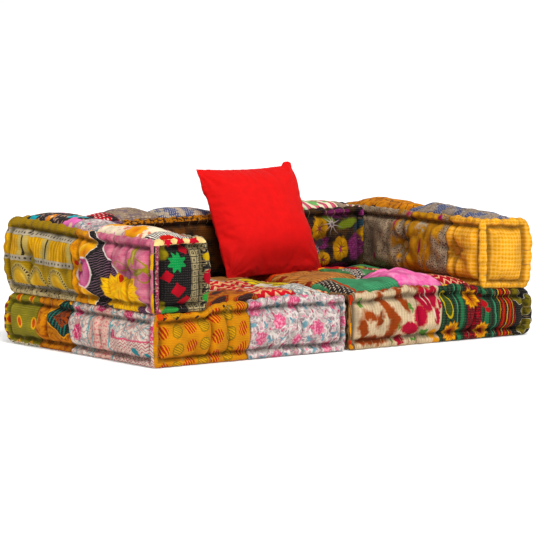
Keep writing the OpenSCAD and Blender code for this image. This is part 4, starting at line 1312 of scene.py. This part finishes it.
# %% Back bolsters
@ground("1A0E10")
def purple_garden(cloth, spot):
    cloth.lay("38240F", mottles(spot, 40, 4, 2.0), 0.95, 0.15)
    loose = wander(spot, 30, 16)
    plum = mottles(spot, 8, 6, 2.0)
    for x, y, wide, tall in ((537, 281, 42, 52), (462, 402, 60, 16), (320, 290, 26, 40),
                             (395, 300, 24, 24), (150, 330, 40, 44), (60, 230, 50, 24),
                             (590, 400, 26, 16), (470, 205, 44, 18)):
        far = oval(loose, x, y, wide, tall)
        cloth.lay("66244C", far, soft=0.12)
        cloth.lay("823C6C", within(far, plum), 0.95, 0.15)
    cloth.ovals("5A651C", loose, [(498, 366, 44, 15, 14), (420, 385, 26, 12, -20), (250, 380, 40, 14, 10),
                                  (350, 240, 14, 30, 20)], soft=0.2)
    cloth.ovals("17303C", loose, [(556, 356, 40, 13, 24), (300, 300, 30, 12, -20)], soft=0.2)
    for x, y, wide, tall in ((380, 350, 33, 42), (462, 275, 29, 42), (590, 330, 26, 30),
                             (388, 238, 27, 30), (240, 300, 34, 40), (80, 280, 34, 36)):
        far, own = motif(loose, x, y, wide, tall)
        far = petals(far, own, 5, 0.08)
        cloth.lay("A87418", far)
        cloth.lay("CB9630", petals(far, own, 5, -0.3), 0.66, 0.3)
        cloth.lay("643810", petals(far, own, 10, 0.5), 0.34, 0.15)
        cloth.lay("8C3A5C", far, 0.2)
    for x, y, size in ((430, 366, 17), (368, 278, 12)):
        stamens, own = motif(spot, x, y, size, size)
        rays = petals(outlines(stamens, 0.42, 0.6), own, 9, 0.9)
        cloth.lay("AC9C9C", rays, 0.3, 0.2)


@ground("1E120C")
def dusk_leaves(cloth, spot):
    cloth.lay("48290F", mottles(spot, 40, 4, 3.0), 0.95, 0.2)
    leaves = motif(repeats(spot, 120, 90, 0, 0, 60), 0, 0, 34, 26)
    cloth.lay("5E3614", petals(*leaves, 5, 0.2), soft=0.3)
    stripes = within(beyond(spot, "Y", 408, 2), beyond(spot, "X", -470, -3))
    cloth.lay("1A1417", stripes)
    cloth.lay("A87A92", within(stripes, bars(spot, 8, 0.35, 96)), soft=0.3)
    top = within(beyond(spot, "Y", 408, 2), beyond(spot, "X", -470, 3))
    cloth.lay("AE6C1C", top)
    cloth.lay("3A200F", within(top, mottles(spot, 14, 7, 2.0)), 0.96)


@ground("B5202A")
def red_dots(cloth, spot):
    cloth.lay("EBD9CF", dots(spot, 16, 3.4), soft=0.3)
    cloth.lay("241214", mottles(spot, 44, 3, 2.0), 0.86, 0.03)


@ground("AF9C86")
def beige_mottle(cloth, spot):
    cloth.lay("877264", mottles(spot, 9, 4, 4.0), 1.0, 0.3)
    cloth.lay("7A6A70", mottles(spot, 34, 6, 3.0), 0.84, 0.1)
    cloth.lay("5E4636", bars(spot, 7, 0.22, 90), soft=0.4)


@ground("565A72")
def slate_mottle(cloth, spot):
    cloth.lay("3C4670", mottles(spot, 30, 2, 3.0), 1.0, 0.2)
    cloth.lay("AE9C86", mottles(spot, 36, 7, 3.0), 0.96, 0.06)
    cloth.lay("CFC3AE", dots(spot, 9, 1.7), soft=0.5)


@ground("D0821C")
def orange_scrolls(cloth, spot):
    cloth.lay("B06412", mottles(spot, 28, 4, 3.0), 0.95, 0.15)
    cloth.lay("20140E", outlines(mottles(spot, 48, 9, 0.5), 0.03), soft=0.3)


@ground("E8DCC0")
def candy_stripes(cloth, spot):
    cloth.lay("C9697E", bars(spot, 34, 0.4, 24), soft=0.1)
    cloth.lay("B3202C", bars(spot, 34, 0.14, 24, 9), soft=0.2)
    cloth.lay("6FA864", mottles(spot, 50, 2, 1.0), 0.72, 0.05)


# %% Right arm
@ground("A6937A")
def beige_speckle(cloth, spot):
    cloth.lay("897460", mottles(spot, 24, 2, 3.0), 1.0, 0.3)
    cloth.lay("33261F", mottles(spot, 4.5, 6, 1.0), 0.80, 0.05)
    cloth.lay("B07A2A", within(beyond(spot, "X", 60, -40), mottles(spot, 40, 8, 2.0)), 0.92, 0.2)
    cloth.ovals("9A4058", spot, [(44, 376, 7, 20, -20), (-20, 415, 12, 12, 0), (160, 250, 14, 10, 0)],
                soft=0.4)


@ground("C08C3A")
def worn_ochre(cloth, spot):
    """Ochre that washing has taken off in upright streaks, down to a speckled grey."""
    cloth.lay("A36E22", mottles(spot, 20, 3, 3.0), 0.95, 0.3)
    worn = mottles(spot, 26, 5, 3.0, (1, 2.2))
    x, y, _ = split(spot)
    slope = maths("MULTIPLY_ADD", y, 0.42, x)
    grey = maths("MULTIPLY", maths("MULTIPLY_ADD", slope, 1 / 120, 0.95 + 70 / 120), worn)
    cloth.lay("A3927A", grey, 1.0, 0.25)
    cloth.lay("B2A48C", within(oval(spot, -105, 372, 30, 22), mottles(spot, 14, 8)), soft=0.2)
    specks = within(mottles(spot, 4.5, 4, 1.0), maths("MULTIPLY", grey, 0.72))
    cloth.lay("241C1A", specks, 0.80, 0.05)
    cloth.ovals("9A2A58", spot, [(-112, 300, 7, 26, 8), (-205, 412, 13, 12, 0), (-36, 405, 11, 16, 0)],
                soft=0.35)


@ground("E3A654")
def golden_plaid(cloth, spot):
    cloth.lay("D99A44", mottles(spot, 40, 2, 3.0), 1.0, 0.4)
    for turn in (0, 90):
        cloth.lay("EDB868", bars(spot, 14, 0.34, turn), 0.9, 0.8)
        cloth.lay("D4902F", bars(spot, 14, 0.12, turn, 7, 7), 0.9, 0.8)


@ground("9C8C7C")
def grey_paisley(cloth, spot):
    cloth.lay("7C6A5C", mottles(spot, 8, 3, 4.0), 0.98, 0.2)
    blot = mottles(spot, 52, 12, 3.0)
    cloth.lay("4A4F6C", blot, 0.93, 0.06)
    cloth.lay("B4AA9C", outlines(blot, 0.016, 0.94), soft=0.5)
    cloth.lay("4A3A34", outlines(blot, 0.018, 1.03), soft=0.4)
    cloth.lay("AEB0C4", within(dots(spot, 9, 1.8), blot), 0.94, 0.3)


# %% Tops of the seats
@ground("E0B492")
def coral_zigzag(cloth, spot):
    cloth.lay("C23A40", zigzag(spot, 34, 0.55, 42, 20), soft=0.1)
    cloth.lay("E8A25A", zigzag(spot, 34, 0.12, 42, 20, 15), soft=0.3)


@ground("B8703A")
def brown_leaves(cloth, spot):
    cloth.lay("8E4A24", mottles(spot, 32, 3, 2.0), 0.95, 0.12)
    far = oval(repeats(spot, 110, 80, -400, -240, 55), 0, 0, 44, 16, 24)
    cloth.lay("2E1512", far)
    cloth.lay("8E2018", outlines(far, 0.09, 1.15))


@ground("D6D0C4")
def grey_scroll(cloth, spot):
    cloth.lay("7F8C8C", outlines(mottles(spot, 24, 4, 1.0), 0.12), soft=0.4)
    cloth.lay("4A4640", outlines(mottles(spot, 30, 9, 1.0), 0.035), soft=0.4)
    cloth.lay("B05A48", mottles(spot, 30, 7, 2.0), 0.66, 0.03)


@ground("D6B52E")
def yellow_ticks(cloth, spot):
    cloth.lay("1E1812", bars(spot, 30, 0.28, 35), soft=0.1)
    cloth.lay("E8DCC8", mottles(spot, 60, 5, 2.0), 0.78, 0.03)


@ground("AC6E3E")
def tan_weave(cloth, spot):
    cloth.lay("84502C", mottles(spot, 22, 3, 3.0), 0.95, 0.25)
    cloth.lay("C49462", bars(spot, 13, 0.3, 18), soft=0.8)
    cloth.lay("7A2418", mottles(spot, 80, 6, 2.0), 0.74, 0.03)


@ground("4C9066")
def green_border(cloth, spot):
    cloth.lay("3A7A54", bars(spot, 9, 0.5, 40), soft=0.5)
    edge = oval(spot, 52, -300, 17, 900, -9)
    cloth.lay("A8402A", oval(spot, 76, -300, 5, 900, -9))
    cloth.lay("231C1A", edge)
    cloth.lay("D8C8B0", within(edge, dots(spot, 14, 3)), soft=0.3)
    cloth.lay("8A5A34", beyond(spot, "X", 30, -6), 1.0, 0.3)


@ground("4B7F50")
def green_chain(cloth, spot):
    cloth.lay("386A40", mottles(spot, 30, 3, 3.0), 0.95, 0.2)
    chain = oval(spot, 350, 40, 20, 900, -24)
    cloth.lay("221A1C", chain)
    ring = dots(spot, 20, 6)
    cloth.lay("D9D0C0", within(chain, outlines(ring, 0.3)), soft=0.3)
    cloth.lay("B02A30", within(chain, ring), 0.4)


@ground("D1481E")
def sunset_arcs(cloth, spot):
    cloth.lay("B83218", mottles(spot, 30, 5, 3.0), 0.9, 0.15)
    arc = oval(spot, 520, 130, 90, 110)
    cloth.lay("E9A22C", outlines(arc, 0.16, 1.3))
    cloth.lay("93A03A", outlines(arc, 0.10))
    cloth.lay("3F7F50", arc, 0.86)
    cloth.lay("3B2440", outlines(arc, 0.03, 0.86))


@ground("B4202A")
def crimson_square(cloth, spot):
    cloth.lay("981820", bars(spot, 8, 0.5, 90), soft=0.5)
    cloth.lay("DE8A2A", mottles(spot, 90, 3, 1.0), 0.72, 0.02)


@ground("EE82B2")
def pink_plain(cloth, spot):
    cloth.lay("E26FA4", bars(spot, 10, 0.5, 76), soft=0.6)
    cloth.lay("F39CC2", mottles(spot, 40, 3, 3.0), 0.9, 0.2)


@ground("9C1C28")
def crimson_zigzag(cloth, spot):
    cloth.lay("D8A888", zigzag(spot, 34, 0.26, 30, 22), soft=0.12)
    cloth.lay("DFA070", mottles(spot, 40, 6, 2.0), 0.78, 0.03)


@ground("CDBFA0")
def calico(cloth, spot):
    cloth.lay("B9A988", mottles(spot, 30, 2, 4.0), 0.95, 0.3)
    cloth.lay("7F8FA0", bars(spot, 46, 0.12, 90), soft=0.2)


print(len(PRINTS), "prints")

# %% [markdown]
# ## The scatter pillow
# The pillow is a plain red cotton cover over a stuffed insert: two squares sewn face to face and turned.
# Its corners and the ear at the top right are particular to this one, so it starts as a crowned form
# with knife edges, folds at the corners and slack at the foot, where it stands on the seats. The cloth
# simulation then blows it up, held along its seam.

# %% Form of the pillow
PILLOW_AT = np.array([PILLOW_X, 0.0666, 0.2092])
PILLOW_LEAN = math.radians(26)
PILLOW_HALF, PILLOW_DRAW, PILLOW_T = 0.211, 0.009, 0.126
PILLOW_CELLS, PILLOW_FRONT = 72, 1.14
CORNER_FOLDS, FOOT_FOLDS, FOOT_HOLLOW, EAR_RISE = 0.0062, 0.0062, 0.020, 0.013


def pillow_form(u, v, side):
    """Point of the pillow's front (side -1) or back (side 1) at u, v from -1 to 1, in its own frame."""
    x = u * (PILLOW_HALF - PILLOW_DRAW * (1 - v * v))
    z = v * (PILLOW_HALF - PILLOW_DRAW * (1 - u * u))
    # The filling has sunk, so the lower half is fuller and turns under
    round_v = np.clip(1 - v * v, 0, 1) ** np.where(v < 0, 0.66, 0.5)
    swell = np.clip(1 - u * u, 0, 1) ** 0.54 * round_v * (1.08 - 0.16 * v)
    y = side * swell * PILLOW_T / 2
    return x, y, z


def pillow_folds(u, v):
    """How far the folds lift or sink the cloth, in metres."""
    place = np.stack([u, v, 0 * u], -1).reshape(-1, 3)
    total = 0.0030 * ripples(place, 0.6, 31).reshape(u.shape)
    for corner_u, corner_v, size in ((-1, -1, 1.0), (1, -1, 1.0), (-1, 1, 0.9), (1, 1, 1.3)):
        du, dv = corner_u - u, corner_v - v
        far = np.hypot(du, dv)
        turn = np.arctan2(dv * corner_v, du * corner_u)
        rays = np.cos(9 * (turn - math.pi / 4)) + 0.5 * np.sin(17 * turn + corner_u)
        total += CORNER_FOLDS * size * rays * np.exp(-((far - 0.28) / 0.24) ** 2)
    # Slack folds low on the left, and a soft hollow over the foot
    along = 0.9 * u + 0.45 * v
    low = np.exp(-((u + 0.75) / 0.35) ** 2 - ((v + 0.1) / 0.6) ** 2)
    total += FOOT_FOLDS * low * np.sin(along * 14)
    total -= FOOT_HOLLOW * np.exp(-((u - 0.15) / 0.5) ** 2 - ((v + 0.80) / 0.15) ** 2)
    return total


def pillow_side(u, v, side):
    """Places of one side's grid in the set, where the pillow leans on the back."""
    rim = np.clip((1 - np.abs(u)) * (1 - np.abs(v)) * 12, 0, 1)
    x, y, z = pillow_form(u, v, side)
    y = y * (PILLOW_FRONT if side < 0 else 1.0)
    y = y + side * pillow_folds(u, v) * rim
    # The ear: the top right corner stands up and folds forward
    ear = ramp((u - 0.74) / 0.12) * ramp((v - 0.72) / 0.2)
    z = z + EAR_RISE * ear * (1 - 0.5 * ramp((u - 0.93) / 0.07))
    x = x - 0.006 * ear - 0.004 * ramp((-u - 0.7) / 0.2) * ramp((v - 0.52) / 0.06)
    y = y + side * 0.007 * np.exp(-(((u - 0.93) / 0.09) ** 2 + ((v - 0.9) / 0.16) ** 2)) * rim
    lean_cos, lean_sin = math.cos(PILLOW_LEAN), math.sin(PILLOW_LEAN)
    turn = np.array([[1, 0, 0], [0, lean_cos, lean_sin], [0, -lean_sin, lean_cos]])
    return np.stack([x, y, z + PILLOW_HALF], -1).reshape(-1, 3) @ turn.T + PILLOW_AT


def cells(grid):
    """The four corners of every cell of a grid, in turn."""
    return np.stack([grid[:-1, :-1], grid[:-1, 1:], grid[1:, 1:], grid[1:, :-1]], -1).reshape(-1, 4)


# %% Sew the pillow from two grids that share their rim
def make_pillow():
    """Cuts, forms and fills the pillow, held along its seam."""
    share = np.linspace(-1, 1, PILLOW_CELLS + 1)
    share = np.sin(share * math.pi / 2) * 0.45 + share * 0.55
    v, u = np.meshgrid(share, share, indexing="ij")
    inner = np.zeros(u.shape, bool)
    inner[1:-1, 1:-1] = True
    front = np.arange(u.size).reshape(u.shape)
    back = front.copy()
    back[inner] = u.size + np.arange(inner.sum())
    points = np.concatenate([pillow_side(u, v, -1), pillow_side(u, v, 1)[inner.ravel()]])
    quads = np.concatenate([cells(front), cells(back)[:, ::-1]])
    flat = [np.concatenate([cells(grid), cells(grid)[:, ::-1]]) * PILLOW_HALF for grid in (u, v)]
    piece = new_piece("pillow", points, quads)
    add_uv(piece.data, "Print", *flat)
    piece.data.update()
    slack = np.append(inner.ravel(), np.ones(inner.sum()))
    blow_up(piece, slack, PILLOW_MOVES, larger=0.035, stiffness=0.12, quality=6, frames=20)
    piece.data.update()
    soften(piece)
    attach(piece, "pillow")
    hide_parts("pillow_cover", "pillow_insert")
    print("pillow", len(points), "points")
    return piece


# %% [markdown]
# ## Plain red cotton, buttons, twine and zip
# The pillow is plain-woven, piece-dyed cotton: one strong red, matt, with only its weave to break it,
# and painted shade that darkens it towards its foot.
# The tuft buttons are moulded plastic with a soft shine, the twine is linen, the zip's tape is woven
# polyester and its slider is enamelled in the same red, so that it hardly shows.

# %% The plain materials
def red_cotton():
    """Plain-woven cotton dyed red: matt, with a fine weave, and painted shade towards the foot."""
    mat = bpy.data.materials.new("plain_red_cotton")
    new_tree(mat)
    spot = in_mm(add("UVMap", uv_map="Print"))
    x, y, _ = split(spot)
    weave = maths("MULTIPLY", maths("PINGPONG", x, 0.9), maths("PINGPONG", y, 0.9))
    slubs = mottles(spot, 3, 2, 2.0, (14, 1))
    soft = mottles(spot, 26, 4, 3.0)
    relief = maths("MULTIPLY_ADD", soft, 1.2, maths("MULTIPLY_ADD", slubs, 0.3, weave))
    # Painted shade: the cloth that turns under at the foot is darker
    shade = eased(y, -208.0, -50.0, 0.56, 1.0)
    tint = maths("MULTIPLY", add("MapRange", [soft, 0.5, 1.5, 0.94, 1.05]), shade)
    colour = add("HueSaturation", {"Value": tint, "Color": dye("E8100F")})
    bump = add("Bump", {"Strength": 0.35, "Distance": 0.0006, "Height": relief})
    surface({"Base Color": colour, "Roughness": 0.82, "IOR": 1.5, "Specular IOR Level": 0.12,
             "Sheen Weight": 0.03, "Sheen Roughness": 0.4, "Normal": bump})
    return mat


def plain(name, colour, roughness, ior=1.5, metallic=0.0, grain=1.0, depth=0.0002, size=2.0):
    """One colour with a grain of the given size in mm, for buttons, twine and zip."""
    mat = bpy.data.materials.new(name)
    new_tree(mat)
    place = add("TexCoord", out=3)
    cloud = add("TexNoise", {"Vector": place, "Scale": 1000 / size, "Detail": 3.0})
    tint = add("MapRange", [cloud, 0.3, 0.7, 1 - 0.15 * grain, 1 + 0.1 * grain])
    tone = add("HueSaturation", {"Value": tint, "Color": dye(colour)})
    bump = add("Bump", {"Strength": 0.5 * grain, "Distance": depth, "Height": cloud})
    surface({"Base Color": tone, "Roughness": roughness, "IOR": ior, "Metallic": metallic,
             "Normal": bump})
    return mat


def covered_button(cushion):
    """Buttons covered in the cloth around them: each dye holds where y, in metres, is under its limit."""
    first, *others = COVERED[cushion]
    mat = plain("cloth_covered_button_" + cushion, first, 0.88, grain=1.5, depth=0.0003, size=1.5)
    if others:
        cloth, spot = Cloth(first), in_mm(add("TexCoord", out=3))
        for code, limit in others:
            cloth.lay(code, beyond(spot, "Y", 1000 * limit, -20))
        tint = next(node for node in tree.nodes if node.type == "HUE_SAT")
        tree.links.new(cloth.colour, tint.inputs["Color"])
    return mat


BUTTON = plain("moulded_plastic_button", "C9C4BC", 0.42, 1.49, grain=0.6)
TWINE = plain("linen_twine", "9A7D52", 0.9, grain=1.5, depth=0.0004, size=1.2)
FILLING = plain("cotton_filling", "E8E2D4", 0.95, grain=1.0, depth=0.001, size=8.0)
ZIP_TAPE = plain("woven_polyester_tape", "A8161A", 0.7, grain=1.0, size=1.0)
ZIP_METAL = plain("red_enamelled_zinc", "9C1416", 0.35, grain=0.3, size=0.8)
COVERED = {"arm_left": ["8E7A1E", ("B9791A", 0.15), ("9A5874", -0.15)],
           "arm_right": ["927C60", ("AD8440", 0.15), ("CF8A26", -0.15)], "back_left": ["2E1C12"],
           "back_right": ["2A1A1E"]}
KINDS = {"buttons": BUTTON, "twine": TWINE, "filling": FILLING, "insert": FILLING, "zip": ZIP_TAPE,
         "slider": ZIP_METAL}
for name, obj in frame["nodes"].items():
    cushion, kind = name.rsplit("_", 1)
    covered = kind == "buttons" and cushion in COVERED
    own = covered_button(cushion) if covered else KINDS.get(kind, FILLING)
    obj.data.materials.clear()
    obj.data.materials.append(own)
print(len(bpy.data.materials), "plain materials")

# %% Make the seven cushions
CLOTHS = {}


def printed_cloth(name):
    """The material of a print, made the first time that it is asked for."""
    if name not in CLOTHS:
        CLOTHS[name] = quilted_cotton(name)
    return CLOTHS[name]


for name in CUSHIONS:
    sew(name)
for name in CUSHIONS:
    stitch_rolls(name)
pillow = make_pillow()
pillow.data.materials.append(red_cotton())
frame["nodes"]["pillow_cover"].data.materials[0] = pillow.data.materials[0]

# %% [markdown]
# ## Camera and light
# The photograph was taken with a long lens from a little above the arms, on a white sweep, in even,
# soft light from the front left. The floor and the world look plain white to the camera, and only the
# floor's shadow is left on it.

# %% Camera
LENS_MM, SENSOR_MM = 236.4, 36
EYE, EYE_TURN = (-7.21, -9.841, 1.483), (84.25, 0, -36.14)
camera = bpy.data.cameras.new("camera")
eye = bpy.data.objects.new("camera", camera)
bpy.context.scene.collection.objects.link(eye)
camera.lens = LENS_MM
camera.sensor_width = SENSOR_MM
eye.location = EYE
eye.rotation_euler = [math.radians(turn) for turn in EYE_TURN]
bpy.context.scene.camera = eye
print("camera with a lens of", round(camera.lens, 1), "mm")

# %% White floor that keeps the shadow
# Just under the lowest threads, so that none comes through it
FLOOR_Z, FLOOR_HALF, GLOW = -0.0005, 40, 0.30
corners = [(x * FLOOR_HALF, y * FLOOR_HALF, FLOOR_Z) for x, y in ((-1, -1), (1, -1), (1, 1), (-1, 1))]
floor = new_piece("floor", np.array(corners), np.array([(0, 1, 2, 3)]))
floor_mat = bpy.data.materials.new("white_paper_sweep")
new_tree(floor_mat)
glow = maths("MULTIPLY", add("LightPath"), GLOW)
surface({"Base Color": dye("FFFFFF"), "Roughness": 0.9, "Emission Color": dye("FFFFFF"),
         "Emission Strength": glow})
floor.data.materials.append(floor_mat)

# %% Soft studio light
# To the camera the world is white, but it lights the set with less than that
WORLD_LIGHT, SUN_LIGHT, SUN_ANGLE, SUN_TURN = 0.40, 2.3, 0.5, (43, 0, -20)
world = bpy.data.worlds.new("studio")
bpy.context.scene.world = world
new_tree(world)
seen = add("LightPath").node.outputs
white = maths("MAXIMUM", seen["Is Camera Ray"], seen["Is Glossy Ray"])
white = maths("MAXIMUM", white, seen["Is Transmission Ray"])
strength = add("MapRange", [white, 0.0, 1.0, WORLD_LIGHT, 1.0])
sky = add("Background", {"Color": (1, 1, 1, 1), "Strength": strength})
add("OutputWorld", [sky])
light = bpy.data.lights.new("key", "SUN")
light.energy, light.angle = SUN_LIGHT, SUN_ANGLE
holder = bpy.data.objects.new("key", light)
holder.rotation_euler = [math.radians(turn) for turn in SUN_TURN]
bpy.context.scene.collection.objects.link(holder)
bpy.context.scene.view_settings.view_transform = "Standard"
